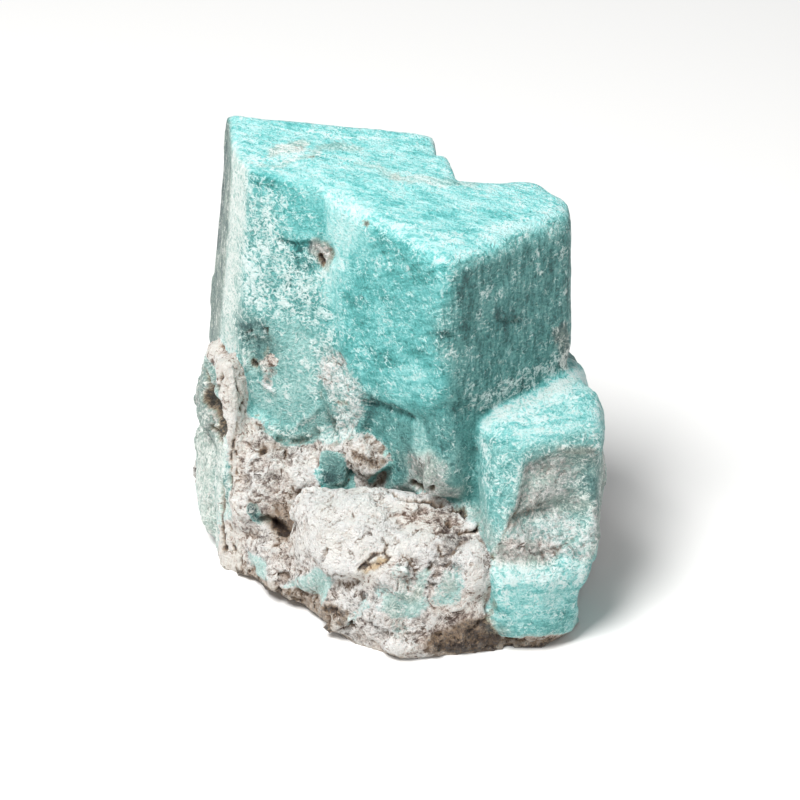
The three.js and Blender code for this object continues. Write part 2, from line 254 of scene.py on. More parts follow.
# %% Bulges, then worn edges
BULGES = (
    # height, half width and soft rim in millimetres, then the spots
    (0.50, 3.0, 3.0, (-20, 20, 54), (-8, 20, 54), (2, 17, 54)),
    (0.45, 2.0, 2.5, (17, 6, 53)),
    (-1.50, 3.0, 3.5, (26, -9, 4), (26, -9, 8)),
    (-0.60, 1.0, 2.0, (23.5, -3, 31)),
    (-0.70, 1.2, 2.0, (22, 2, 33), (25, -1, 31)),
    (-1.60, 1.5, 2.0, (23.6, 5.5, 30.5), (23, 9, 30)),
    (-1.00, 1.0, 2.2, (26, -12, 4.5), (26, -9, 4)),
    (-0.90, 0.8, 1.8, (25, -14.5, 5.5), (25, -16.5, 7)),
    (1.60, 1.5, 2.0, (22.5, -7, 2.5), (22.5, -6.5, 5)),
    (-0.50, 0.6, 1.2, (367, 431), (376, 436)),
    (0.55, 1.0, 1.5, (592, 530), (590, 552)),
    (0.30, 1.2, 2.0, (213, 290)),
    (0.50, 1.5, 1.5, (395, 650), (420, 656), (465, 648)),
    (0.70, 1.5, 1.5, (474, 556), (478, 580)),
    # the knob runs up into the root, and a low ridge leaves it to the left
    (1.20, 0.9, 1.6, (426, 462), (442, 464)),
    (1.00, 0.8, 1.4, (446, 470), (452, 486)),
    (0.90, 0.6, 1.2, (392, 486), (412, 480)),
)
WORN = (
    # half width, then the spots
    (1.1, (455, 268), (453, 330), (452, 390)),
    (2.0, (524, 468), (530, 458), (552, 451)),
    (1.8, (545, 470), (570, 456), (598, 450)),
    (2.2, (424, 466), (448, 474)),
    (1.2, (395, 487), (412, 482)),
    (1.0, (372, 462), (364, 482)),
    (1.4, (356, 434), (367, 431), (384, 446)),
    (1.8, (25.5, -9, 2.5), (25.5, -9, 6), (25, -6, 7.5), (24.5, -3, 8)),
    (1.2, (23.5, -3, 31), (24, -1, 30.5)),
    (1.0, (497, 571), (540, 573), (582, 570)),
    (1.2, (308, 583)),
    (1.0, (400, 592)),
    (1.0, (450, 578)),
)
WEAR = 43  # passes of smoothing


def smooth_where(name, strength, passes):
    """Adds a modifier that smooths as far as each point's strength, and never at the ground."""
    group = stone.vertex_groups.new(name=name)
    level = np.round(np.clip(strength * np.clip(place[:, 2] / GROUND_MARGIN, 0, 1), 0, 1), 1)
    for step in np.unique(level):
        group.add(np.flatnonzero(level == step).tolist(), float(step), "REPLACE")
    smooth = stone.modifiers.new(name, "SMOOTH")
    smooth.factor = 0.5
    smooth.iterations = passes
    smooth.vertex_group = name


GROUND_MARGIN = 1.6  # millimetres above the ground where a point is free to move

swell = np.zeros(len(place))
for height, half, soft, *spots in BULGES:
    swell += height * fade(reach(*spots, rim=0, turn=4), half, soft)
bulged = place + (swell * np.clip(place[:, 2] / GROUND_MARGIN, 0, 1))[:, None] * facing
stone.data.vertices.foreach_set("co", (bulged * MM).astype(np.float32).ravel())
stone.data.update()

worn = np.zeros(len(place))
for half, *spots in WORN:
    worn = np.maximum(worn, fade(reach(*spots, rim=0, turn=1), half, half))
smooth_where("worn", worn, WEAR)
keep_result(stone)
stone.vertex_groups.clear()
survey(stone.data)
stir()
print("the skin swells by up to", round(float(swell.max()), 2), "mm, and sinks by", round(float(-swell.min()), 2), "mm")

# %% [markdown]
# ## What the stone is made of, zone by zone
# Six numbers say what the surface is at a point, and each ends up as an attribute that the material
# reads. `blue` is how deep the amazonite's colour is. `grey` is how far weathering has dulled it. `frost`
# is how much of it is crushed to white cleavage flecks. `albite` is 1 where the white feldspar covers the
# amazonite. `warm` is how pink or cream that albite is, and the stain is how much iron has browned it.
# The stain also carries painted shade: near black in crevices and gaps, and brown-grey under overhangs
# and along the bottom.

# %% Finishes
CLEAVAGES = {"along": (0.44, 0.90, 0.0), "level": (-0.29, 0.31, 0.905), "across": (0.0, 0.35, 0.94)}
QUALITIES = ("blue", "grey", "frost", "albite", "rough", "warm", "gold", "stain", "streak", *CLEAVAGES)
FINISHES = {
    "bright top": dict(blue=0.16, frost=0.26, streak=1.15, along=1),
    "striped side": dict(blue=0.55, grey=0.95, frost=0.25, streak=1.3),
    "pale chamfer": dict(blue=0.05, grey=0.70, frost=1.0, streak=0.4),
    "slab front": dict(blue=0.34, grey=0.06, frost=0.28, streak=0.4),
    "frosted front": dict(blue=0.46, grey=0.30, frost=0.82, streak=0.6),
    "broken patch": dict(blue=0.66, grey=0.70, frost=0.26, streak=0.5),
    "slab nose": dict(blue=0.31, grey=0.42, frost=0.30, streak=0.2),
    # painted shade under the nose's overhang: dark green-grey with a little brown
    "nose shade": dict(blue=0.85, grey=0.90, frost=0.10, albite=0.25, warm=0.5, stain=0.22),
    "pale facet": dict(blue=0.08, grey=0.10, frost=0.50, streak=0.3),
    "block front": dict(blue=0.47, grey=0.06, frost=0.26, streak=0.8, level=1),
    "block side": dict(blue=0.66, grey=0.38, frost=0.18, streak=1.1),
    "root": dict(blue=0.65, grey=0.34, frost=0.04, streak=0.4),
    "window": dict(blue=0.74, grey=0.70, streak=0.1),
    "side top": dict(blue=0.17, grey=0.08, frost=0.52, streak=1.7, across=1),
    "side strip": dict(blue=0.37, grey=0.28, frost=0.46, streak=0.6),
    "scoop": dict(blue=0.38, grey=0.92, frost=0.50, albite=0.46, rough=0.22, warm=0.10, streak=0.2),
    "scoop rim": dict(blue=0.60, grey=0.60, frost=0.34, albite=0.12, streak=0.3),
    "step": dict(blue=0.32, grey=0.18, frost=0.36, streak=1.2, across=1),
    "crust": dict(blue=0.46, grey=0.50, frost=0.95, albite=0.44, rough=0.52, warm=0.15, streak=0.2),
    "wedge": dict(albite=1.0, rough=0.7, warm=0.65, stain=0.28, grey=0.42, frost=0.4, streak=1.5),
    "grey knob": dict(blue=0.44, grey=1.0, albite=0.46, rough=0.05, warm=0.05, frost=0.20),
    "white ledge": dict(albite=1.0, rough=0.38, warm=0.62, frost=0.8),
    "tan inclusion": dict(albite=1.0, warm=1.0, stain=0.16, frost=0.9),
    # the hole: dark brown, partly dirt and partly painted shade in the pit
    "hole": dict(albite=1.0, warm=0.8, stain=0.62, grey=0.9),
    "cream lump": dict(albite=1.0, rough=0.28, warm=0.74, frost=1.0),
    "pink slope": dict(albite=1.0, rough=0.42, warm=0.66, frost=0.3, grey=0.32),
    "grey foot": dict(albite=0.90, blue=0.16, rough=0.52, warm=0.55, stain=0.03, frost=0.50, grey=0.44),
    "blue knob": dict(blue=0.32, grey=0.74, albite=0.34, rough=0.06, frost=0.40),
    "beige rib": dict(albite=1.0, rough=0.10, warm=1.0, stain=0.19, frost=1.0, streak=2.6),
    "flank": dict(blue=0.50, grey=0.90, albite=0.36, rough=0.42, warm=0.35, frost=0.30, streak=0.5),
    "pale flank": dict(blue=0.16, grey=0.90, albite=0.26, rough=0.32, warm=0.30, frost=0.80, streak=0.8),
    # the undercut bottom: brown, partly iron stain and partly painted shade where the stone meets the table
    "underside": dict(albite=1.0, rough=0.7, warm=1.0, stain=0.55, grey=0.5),
}

# %% [markdown]
# Each stroke below claims the surface around it for one finish. Every point of the stone takes the finish
# of the stroke that it is nearest to, less that stroke's half width, as a map of the nearest town would,
# and the noise in `reach` gives the borders their natural run.

# %% Zones
ZONES = (
    # the two tall crystals' tops
    ("bright top", 2.0, (245, 130), (425, 147)),
    ("bright top", 2.0, (262, 160), (445, 172)),
    ("bright top", 2.0, (345, 182), (550, 200)),
    ("bright top", 2.0, (385, 205), (447, 245), (545, 208)),
    # the slab
    ("striped side", 1.0, (227, 135), (216, 240), (213, 300)),
    ("pale chamfer", 0.9, (243, 172), (236, 240), (229, 320), (228, 345)),
    ("slab front", 1.5, (258, 184), (300, 205), (318, 215)),
    ("slab front", 1.5, (300, 205), (300, 235)),
    ("frosted front", 1.5, (258, 205), (260, 300)),
    ("frosted front", 1.5, (280, 240), (280, 310)),
    ("frosted front", 1.5, (312, 262), (310, 310)),
    ("slab nose", 1.2, (290, 325), (300, 350), (280, 380)),
    ("slab nose", 1.2, (252, 388), (285, 412), (305, 400)),
    ("slab nose", 0.5, (262, 414), (290, 421), (308, 410)),
    ("slab nose", 0.4, (250, 408), (272, 424), (296, 430), (314, 422), (322, 410)),
    # painted shade: the dark band under the nose
    ("nose shade", 0.45, (280, 438), (298, 441), (316, 434), (331, 420)),
    ("broken patch", 0.8, (240, 325), (255, 332), (265, 345)),
    ("broken patch", 0.8, (246, 355), (266, 362)),
    # the block and its root
    ("pale facet", 0.8, (334, 203), (362, 219)),
    ("pale facet", 0.8, (334, 215), (330, 290)),
    ("pale facet", 0.6, (348, 225), (338, 262)),
    ("block front", 1.5, (385, 240), (440, 278)),
    ("block front", 1.5, (360, 270), (345, 330), (360, 360)),
    ("block front", 1.5, (400, 300), (400, 380), (432, 385)),
    ("block side", 2.0, (470, 275), (472, 400)),
    ("block side", 2.0, (520, 245), (520, 380)),
    ("block side", 2.0, (562, 230), (562, 345)),
    ("root", 1.0, (376, 420), (384, 470), (398, 480)),
    ("root", 1.0, (420, 430), (450, 455), (455, 480)),
    ("root", 1.0, (468, 425), (472, 490)),
    # what grew in the corner between the crystals
    ("crust", 1.0, (332, 372), (345, 390), (348, 425)),
    ("crust", 0.8, (328, 436), (350, 438)),
    ("wedge", 0.3, (326, 446), (346, 446)),
    ("window", 0.8, (328, 458), (332, 470)),
    ("wedge", 0.8, (354, 452), (376, 454), (380, 468), (358, 473)),
    ("root", 0.6, (370, 428), (386, 441)),
    ("grey knob", 1.1, (428, 471), (448, 472)),
    ("grey knob", 0.8, (424, 482), (453, 488)),
    ("grey knob", 0.4, (398, 488), (414, 482)),
    # the side crystal
    ("side top", 1.5, (500, 417), (590, 375)),
    ("side top", 1.5, (520, 435), (597, 425)),
    ("side top", 0.8, (578, 367), (588, 380)),
    ("side strip", 0.8, (488, 452), (492, 520), (500, 535)),
    ("side strip", 0.8, (512, 455), (508, 500)),
    ("scoop rim", 0.8, (540, 452), (566, 440), (598, 436)),
    ("scoop rim", 0.8, (585, 470), (598, 500)),
    ("scoop", 0.3, (530, 474), (522, 498), (511, 523), (501, 545)),
    ("scoop", 1.2, (548, 470), (580, 468)),
    ("scoop", 1.2, (530, 500), (595, 510)),
    ("scoop", 1.2, (508, 550), (585, 550)),
    ("step", 1.4, (500, 580), (580, 575)),
    ("step", 1.4, (505, 622), (565, 615)),
    # the albite in front
    ("white ledge", 1.2, (320, 500), (385, 498), (425, 515)),
    ("white ledge", 1.2, (305, 540), (420, 545)),
    ("white ledge", 1.0, (335, 565), (350, 565)),
    ("tan inclusion", 0.9, (362, 571), (368, 560), (380, 556)),
    ("cream lump", 0.8, (475, 550), (480, 592)),
    ("grey foot", 1.2, (398, 585), (420, 575), (445, 560)),
    ("grey foot", 1.2, (345, 600), (355, 630), (400, 650), (470, 625)),
    ("grey foot", 1.0, (450, 525), (445, 545)),
    ("blue knob", 0.6, (300, 582), (318, 584)),
    ("blue knob", 0.4, (255, 558), (262, 566)),
    ("blue knob", 0.5, (395, 590), (405, 598)),
    ("blue knob", 0.5, (445, 572), (450, 585)),
    ("pink slope", 0.7, (262, 450), (300, 456), (318, 452)),
    ("pink slope", 1.2, (252, 470), (295, 485), (300, 515)),
    ("hole", 0.7, (280, 522), (285, 531)),
    ("blue knob", 0.3, (474, 512), (490, 530), (492, 548)),
    ("pink slope", 1.2, (250, 505), (255, 540), (275, 555), (300, 560)),
    ("beige rib", 0.6, (221, 350), (228, 370), (235, 420), (236, 480), (234, 560)),
    ("beige rib", 0.5, (233, 380), (242, 405), (255, 424)),
    ("flank", 1.0, (205, 385), (207, 425)),
    ("pale flank", 1.0, (202, 445), (206, 520)),
    ("pale flank", 0.8, (222, 450), (226, 510)),
    # brown along the undercut bottom: stain with painted shade
    ("underside", 0.3, (252, 585), (292, 598), (330, 617)),
    ("underside", 0.3, (450, 648), (500, 645), (545, 642)),
    # the hidden sides
    ("block side", 2.0, (-20, 20, 50), (-20, 20, 30)),
    ("block side", 2.0, (-10, 18, 50), (-10, 18, 36)),
    ("block side", 2.0, (2, 16, 50), (2, 16, 40)),
    ("block side", 2.0, (8, 9, 52), (20, 5, 50)),
    ("block side", 2.0, (8, 9, 47), (18, 6, 46)),
    ("side top", 1.5, (8, 13, 42), (18, 10, 41)),
    ("slab front", 2.0, (14, 18, 34), (20, 14, 30)),
    ("block side", 2.0, (22, 8, 36), (21, 12, 24)),
    ("side strip", 1.5, (26, -2, 27), (26, -4, 16)),
    ("scoop", 0.4, (26, -10, 21), (25, -11, 17)),
    ("grey foot", 0.8, (23, -4, 3), (24, -3, 5)),
    ("step", 1.5, (25, -12, 9), (24, -8, 5)),
    ("white ledge", 1.5, (-16, 20, 18), (-16, 20, 8)),
    ("pink slope", 1.5, (-6, 21, 24), (2, 20, 28)),
    ("grey foot", 1.5, (-2, 21, 10), (6, 21, 6)),
    ("white ledge", 1.5, (4, 20, 20), (10, 20, 12)),
    ("step", 1.0, (-6, 21, 13), (-9, 21, 9)),
    ("step", 1.5, (-9, 21, 7), (-5, 21, 3)),
    ("step", 0.7, (-12, 21, 5), (-14, 21, 9)),
    ("block side", 1.0, (-13, 20, 27), (-10, 21, 22)),
    ("block side", 0.8, (-4, 19, 31), (-3, 20, 28)),
    ("white ledge", 1.0, (-21, 20, 26), (-20, 20, 22)),
    ("pink slope", 0.8, (9, 20, 27), (11, 20, 31)),
    ("pink slope", 1.5, (16, 16, 10), (20, 12, 6)),
    ("grey foot", 1.5, (24, 6, 14), (25, 2, 6)),
    ("flank", 1.5, (-27, 12, 20), (-26, 16, 10)),
    ("pink slope", 1.2, (-26, 8, 5), (-25, 18, 5)),
    ("striped side", 1.5, (-25, 16, 50), (-25, 16, 30)),
)

SOFT_BORDER = 1.1  # millimetres over which one shade of a crystal gives way to the next
CRISP_BORDER = 0.35  # and over which one mineral gives way to the other
CRISP = ("albite", "rough", "warm", "gold", *CLEAVAGES)

names = list(FINISHES)
claims = np.full((len(names), len(place)), np.inf)
for name, half, *spots in ZONES:
    row = names.index(name)
    claims[row] = np.minimum(claims[row], reach(*spots) - half)

amounts = {}
for quality in QUALITIES:
    border = CRISP_BORDER if quality in CRISP else SOFT_BORDER
    shares = np.exp((claims.min(axis=0) - claims) / border)
    finish = np.array([FINISHES[name].get(quality, 0) for name in names])
    amounts[quality] = finish @ shares / shares.sum(axis=0)
print({name: int(count) for name, count in zip(names, np.bincount(claims.argmin(axis=0), minlength=len(names)))})

# %% [markdown]
# ## Marks within the zones
# A stroke here changes one quality by an amount, over a half width in millimetres: streaks of white along
# the cleavage, deeper patches of blue-green, brown where iron has seeped into the albite.

# %% Marks
MARKS = (
    # white streaks along the tops
    ("frost", 1.30, 0.22, (300, 132), (320, 134), (337, 140)),
    ("frost", 1.10, 0.18, (345, 137), (362, 138), (384, 141)),
    ("frost", 0.90, 0.22, (247, 139), (262, 143), (271, 147)),
    ("frost", 1.20, 0.60, (274, 152), (290, 147), (303, 146)),
    ("grey", 0.65, 0.70, (274, 152), (290, 147), (303, 146)),
    ("warm", 0.60, 0.60, (290, 150), (304, 147), (312, 152)),
    ("albite", 0.40, 0.35, (292, 150), (304, 148), (312, 153)),
    ("frost", 1.20, 0.45, (243, 158), (262, 158), (280, 161), (292, 160)),
    ("frost", 1.10, 0.25, (320, 154), (335, 155), (352, 158), (374, 160)),
    ("frost", 0.45, 0.30, (405, 175), (425, 178)),
    ("frost", 0.60, 0.45, (442, 172), (450, 173)),
    ("frost", 0.45, 0.40, (428, 187), (447, 184), (462, 189), (480, 191)),
    ("frost", 0.65, 0.25, (408, 221), (416, 226), (428, 228)),
    ("frost", 0.45, 0.90, (385, 219), (410, 224), (438, 240), (458, 236)),
    ("frost", 0.45, 0.30, (512, 202), (526, 206)),
    ("frost", 0.50, 0.45, (450, 262), (478, 243), (497, 228), (522, 219), (543, 212), (562, 206)),
    ("frost", 0.40, 0.35, (375, 226), (410, 243), (440, 258)),
    ("grey", 0.40, 0.40, (262, 167), (282, 165), (302, 158), (318, 153)),
    ("frost", 0.60, 0.70, (262, 162), (284, 158), (300, 150)),
    ("grey", 0.45, 0.50, (320, 148), (342, 146), (356, 149)),
    ("grey", 0.40, 0.60, (395, 178), (430, 181), (472, 184)),
    ("grey", 0.35, 0.45, (360, 163), (378, 168), (396, 178)),
    ("blue", 0.10, 0.70, (270, 123), (330, 128), (425, 143)),
    # painted shade: the upper part of the left face made deeper blue, where it lies in shadow
    ("blue", 0.24, 1.20, (226, 150), (222, 200), (218, 240)),
    ("blue", 0.06, 0.60, (360, 192), (385, 200), (415, 206)),
    ("blue", 0.12, 0.60, (430, 214), (470, 212), (505, 214)),
    ("blue", 0.16, 0.50, (458, 235), (475, 231)),
    ("stain", 0.80, 0.10, (310, 157), (315, 156)),
    ("stain", 0.70, 0.28, (365, 221), (369, 224)),
    # the slab's front
    ("blue", 0.32, 0.90, (253, 177), (268, 182)),
    ("blue", 0.14, 1.20, (285, 192), (300, 215), (318, 228)),
    ("blue", 0.32, 0.45, (280, 238), (290, 245), (303, 248), (312, 243)),
    ("frost", -0.30, 0.50, (280, 238), (290, 245), (303, 248), (312, 243)),
    ("blue", 0.22, 0.70, (295, 255), (312, 260), (296, 268)),
    ("blue", 0.30, 0.25, (289, 275), (287, 300)),
    ("frost", 0.45, 0.60, (264, 193), (280, 197)),
    ("frost", 0.35, 0.90, (258, 224), (274, 228), (270, 240)),
    ("frost", 0.30, 0.90, (250, 268), (270, 290), (255, 300)),
    ("frost", 0.35, 0.70, (300, 275), (305, 300)),
    ("frost", 0.45, 0.20, (313, 214), (317, 230)),
    ("frost", 0.40, 0.15, (325, 270), (321, 300)),
    ("frost", 0.60, 0.30, (320, 312), (331, 320)),
    ("frost", 0.30, 0.70, (318, 338), (322, 356)),
    ("frost", 1.10, 0.30, (244, 378), (256, 379), (263, 384), (273, 389)),
    ("frost", 0.80, 0.12, (300, 361), (318, 373), (325, 378)),
    ("frost", 0.70, 0.12, (318, 378), (313, 398), (312, 404)),
    ("frost", 0.70, 0.12, (286, 390), (288, 400), (293, 410)),
    ("frost", 0.60, 0.12, (262, 424), (275, 430), (290, 432), (310, 424), (325, 412)),
    ("frost", 0.70, 0.20, (288, 417)),
    ("frost", 0.50, 0.30, (246, 350), (247, 366)),
    ("stain", 0.30, 0.40, (328, 243), (332, 252), (329, 262)),
    ("stain", 0.60, 0.25, (323, 257), (325, 266)),
    ("albite", 0.55, 0.50, (317, 245), (325, 247), (327, 262)),
    ("warm", 0.35, 0.60, (317, 245), (325, 247), (327, 262)),
    ("blue", 0.20, 0.70, (317, 245), (325, 247), (327, 262)),
    ("grey", 0.80, 0.80, (317, 245), (325, 247), (327, 262)),
    ("warm", 0.90, 0.70, (266, 362), (274, 356), (268, 378)),
    ("albite", 0.62, 0.60, (266, 364), (273, 360), (267, 382)),
    ("blue", -0.30, 0.70, (250, 355), (252, 370)),
    ("blue", 0.25, 0.35, (243, 325), (256, 324), (265, 334)),
    ("stain", 0.35, 0.35, (268, 355), (274, 353)),
    ("stain", 0.55, 0.22, (258, 357), (257, 372)),
    # the block
    ("frost", 0.45, 0.90, (332, 196), (345, 203), (362, 213)),
    ("blue", 0.15, 0.70, (350, 300), (364, 304)),
    ("blue", 0.08, 1.30, (380, 240), (396, 247), (412, 262)),
    ("blue", 0.08, 1.00, (365, 285), (388, 292)),
    ("blue", 0.16, 0.80, (374, 357), (392, 360)),
    ("blue", 0.08, 0.60, (345, 350), (360, 360)),
    ("blue", 0.14, 0.50, (408, 346), (422, 349)),
    ("blue", 0.16, 0.50, (440, 335), (450, 331)),
    ("blue", 0.18, 0.22, (430, 268), (446, 268)),
    ("blue", -0.16, 1.20, (420, 375), (405, 385), (395, 395)),
    ("frost", 0.65, 0.28, (390, 264), (391, 273)),
    ("frost", 0.50, 0.30, (384, 386), (396, 385)),
    ("frost", 0.50, 0.18, (425, 336), (440, 332)),
    ("frost", 0.70, 0.35, (456, 328), (458, 337)),
    ("frost", 0.90, 0.30, (567, 293)),
    ("frost", 0.50, 0.15, (540, 262), (541, 274)),
    ("frost", 0.50, 0.20, (515, 329), (516, 334)),
    ("frost", 0.30, 0.40, (571, 205), (572, 300), (572, 350)),
    ("blue", 0.08, 1.20, (462, 285), (468, 320)),
    ("blue", 0.20, 0.60, (500, 312), (516, 321)),
    ("blue", -0.14, 1.60, (470, 257), (510, 240), (555, 224)),
    ("grey", 0.50, 0.90, (561, 332), (566, 362)),
    ("frost", 0.20, 0.90, (561, 332), (566, 362)),
    ("albite", 0.12, 0.80, (561, 330), (565, 345), (566, 362)),
    ("frost", 0.60, 1.20, (478, 404), (500, 394), (525, 382), (550, 370), (566, 362)),
    # the root and the corner
    ("blue", 0.22, 0.60, (372, 410), (366, 428)),
    ("blue", 0.18, 0.70, (398, 455), (402, 468)),
    ("blue", 0.12, 0.60, (446, 438), (448, 455)),
    ("frost", 0.35, 0.50, (462, 470), (470, 490)),
    # painted shade: deeper blue-green under the block's lip
    ("blue", 0.35, 0.50, (375, 402), (395, 408), (412, 416)),
    ("blue", -0.28, 0.80, (420, 425), (418, 445), (425, 455)),
    ("frost", 0.40, 0.12, (452, 430), (455, 455), (458, 470)),
    ("frost", 0.60, 0.70, (328, 368), (336, 378)),
    ("stain", 0.40, 0.35, (338, 405), (345, 404)),
    ("stain", 0.28, 0.60, (352, 455), (366, 461), (380, 464)),
    ("stain", 0.30, 0.40, (366, 478), (378, 474)),
    ("grey", 0.35, 0.80, (352, 456), (366, 462), (380, 462)),
    ("frost", 0.90, 0.25, (338, 448), (360, 446), (378, 447)),
    ("grey", -0.40, 0.25, (338, 448), (360, 446), (378, 447)),
    ("frost", 0.90, 0.15, (356, 464), (352, 474)),
    ("frost", 0.90, 0.15, (366, 466), (368, 478)),
    ("albite", -0.70, 0.30, (384, 455), (387, 474)),
    ("stain", 0.25, 0.40, (335, 443), (350, 443)),
    # painted shade: the dark band under the small crystal's overhang
    ("blue", 0.30, 0.30, (316, 480), (340, 475)),
    # the side crystal
    ("frost", 0.80, 0.55, (488, 422), (512, 411), (535, 401), (555, 392), (575, 381), (588, 376)),
    ("blue", -0.20, 0.70, (488, 422), (512, 411), (535, 401), (555, 392), (575, 381), (588, 376)),
    ("frost", 0.60, 1.00, (490, 422), (515, 410), (540, 400), (562, 390), (584, 378)),
    ("grey", 0.20, 0.50, (488, 420), (512, 409), (535, 399), (555, 390), (575, 379)),
    ("frost", 0.60, 0.20, (506, 424), (530, 414), (560, 402), (590, 392)),
    ("frost", 0.40, 0.15, (504, 424), (514, 428)),
    ("frost", 0.40, 0.18, (520, 415), (548, 420)),
    ("frost", 0.45, 0.40, (484, 448), (490, 460)),
    ("frost", 0.40, 0.14, (484, 482), (491, 490)),
    ("blue", 0.28, 0.50, (484, 476), (494, 480)),
    ("blue", 0.26, 0.45, (496, 490), (503, 498)),
    ("blue", 0.24, 0.40, (490, 442), (506, 443)),
    ("grey", 0.30, 0.60, (560, 450), (590, 450)),
    ("blue", 0.12, 1.00, (514, 515), (535, 508)),
    ("grey", 0.30, 1.20, (504, 552), (530, 556), (548, 556)),
    ("albite", 0.12, 1.20, (504, 552), (530, 556), (548, 556)),
    ("warm", 0.30, 1.20, (504, 552), (530, 556), (548, 556)),
    ("warm", 0.50, 1.20, (514, 515), (535, 508)),
    ("stain", 0.12, 0.60, (512, 516), (530, 511)),
    ("stain", 0.12, 0.50, (506, 536), (514, 524)),
    ("stain", 0.16, 0.45, (558, 560), (560, 552), (572, 540)),
    ("warm", 0.40, 0.80, (535, 485), (548, 470)),
    ("frost", 0.35, 0.60, (545, 488), (560, 494)),
    ("albite", -0.25, 0.90, (560, 500), (590, 520), (585, 480)),
    ("blue", 0.10, 1.00, (565, 480), (592, 490)),
    ("frost", 0.75, 1.30, (497, 573), (540, 576), (582, 573)),
    ("blue", -0.16, 1.30, (497, 573), (540, 576), (582, 573)),
    ("frost", 0.55, 0.60, (500, 592), (510, 606)),
    ("blue", 0.24, 0.40, (497, 608), (506, 616)),
    ("blue", 0.10, 0.70, (545, 606), (562, 612)),
    ("blue", -0.10, 1.00, (515, 602), (560, 598)),
    ("blue", 0.14, 1.00, (505, 630), (560, 624)),
    # the albite
    ("stain", 0.20, 0.25, (404, 500), (428, 502), (445, 505)),
    ("grey", 0.50, 0.60, (252, 506), (264, 524)),
    # brown along the bottom edges: partly iron stain, partly painted shade
    ("stain", 0.55, 0.45, (232, 577), (262, 591), (292, 604)),
    ("stain", 0.35, 0.40, (330, 626), (345, 636), (372, 652), (400, 660)),
    ("stain", 0.50, 0.50, (450, 651), (480, 650), (512, 652), (545, 644)),
    ("warm", 0.50, 0.80, (430, 520), (425, 540)),
    ("stain", 0.22, 0.45, (318, 534), (335, 530), (346, 533)),
    ("stain", 0.30, 0.30, (360, 522), (366, 520)),
    ("gold", 0.85, 0.45, (366, 572), (372, 566), (381, 559)),
    ("stain", 0.40, 0.25, (357, 579), (361, 571), (366, 563)),
    ("stain", 0.28, 0.50, (262, 452), (280, 448)),
    ("grey", 0.22, 1.60, (255, 470), (270, 490), (262, 500)),
    ("grey", 0.30, 0.80, (255, 448), (280, 450)),
    ("blue", 0.50, 0.60, (254, 508), (262, 522)),
    ("albite", -0.60, 0.60, (254, 508), (262, 522)),
    ("stain", 0.25, 0.40, (288, 493), (294, 488)),
    ("stain", 0.50, 0.40, (325, 610), (345, 612), (342, 622)),
    ("stain", 0.40, 0.50, (495, 606), (485, 618), (490, 628)),
    ("stain", 0.45, 0.30, (470, 632), (495, 634)),
    ("warm", 0.50, 1.40, (440, 600), (470, 605)),
    ("warm", 0.60, 1.20, (380, 655), (405, 658)),
    ("albite", -0.36, 0.90, (388, 600), (398, 632)),
    ("albite", -0.38, 1.00, (400, 575), (412, 592)),
    ("grey", 0.25, 1.10, (400, 575), (412, 592)),
    ("frost", 0.30, 1.10, (400, 575), (412, 592)),
    ("grey", 0.20, 1.00, (388, 600), (398, 632)),
    ("grey", 0.20, 0.70, (445, 572), (450, 585)),
    ("albite", -0.30, 0.60, (365, 605), (350, 622)),
    ("blue", 0.12, 0.50, (428, 572), (420, 590)),
    ("albite", -0.40, 0.50, (428, 572), (420, 590)),
    ("grey", 0.25, 0.80, (428, 572), (420, 590), (440, 565)),
    ("grey", 0.45, 1.30, (418, 513), (442, 518), (455, 545)),
    ("frost", -0.40, 1.30, (418, 513), (442, 518), (455, 545)),
    ("warm", 0.50, 1.60, (412, 514), (440, 522)),
    ("grey", -0.30, 1.40, (308, 462), (313, 480), (305, 500)),
    ("frost", 0.60, 1.40, (308, 462), (313, 480), (305, 500)),
    ("frost", 0.60, 0.80, (338, 420), (346, 432)),
    ("grey", -0.30, 1.60, (545, 535), (590, 525), (560, 552)),
    ("frost", 0.30, 1.60, (545, 535), (590, 525), (560, 552)),
    ("albite", -0.30, 1.20, (575, 450), (600, 470), (600, 500)),
    # painted shade: the foot's right part, darker grey and browner where it lies in shadow
    ("grey", 0.50, 1.60, (435, 645), (470, 625), (490, 630)),
    ("warm", 0.50, 1.60, (435, 645), (470, 625), (490, 630)),
    ("stain", 0.58, 1.30, (440, 644), (472, 630), (490, 634)),
    ("albite", -0.45, 0.50, (250, 508), (258, 516)),
    ("blue", 0.35, 0.50, (250, 508), (258, 516)),
    ("grey", 0.35, 0.40, (262, 515), (266, 528)),
    ("blue", 0.30, 0.40, (262, 515), (266, 528)),
    ("stain", 0.55, 1.00, (210, 398), (217, 410), (220, 430)),
    ("stain", 0.30, 0.20, (222, 480), (221, 530)),
    ("blue", 0.40, 0.50, (229, 470), (226, 500)),
    ("albite", -0.30, 0.60, (229, 470), (226, 505)),
)

SOFT_SHARE = 0.8  # a mark's soft rim, as a share of its half width
SOFT_LEAST = 0.25  # and the least it is, in millimetres

for quality, amount, half, *spots in MARKS:
    here = fade(reach(*spots, rim=min(RIM_DEPTH, half)), half, max(SOFT_LEAST, half * SOFT_SHARE))
    amounts[quality] = amounts[quality] + amount * here
print(len(MARKS), "marks")
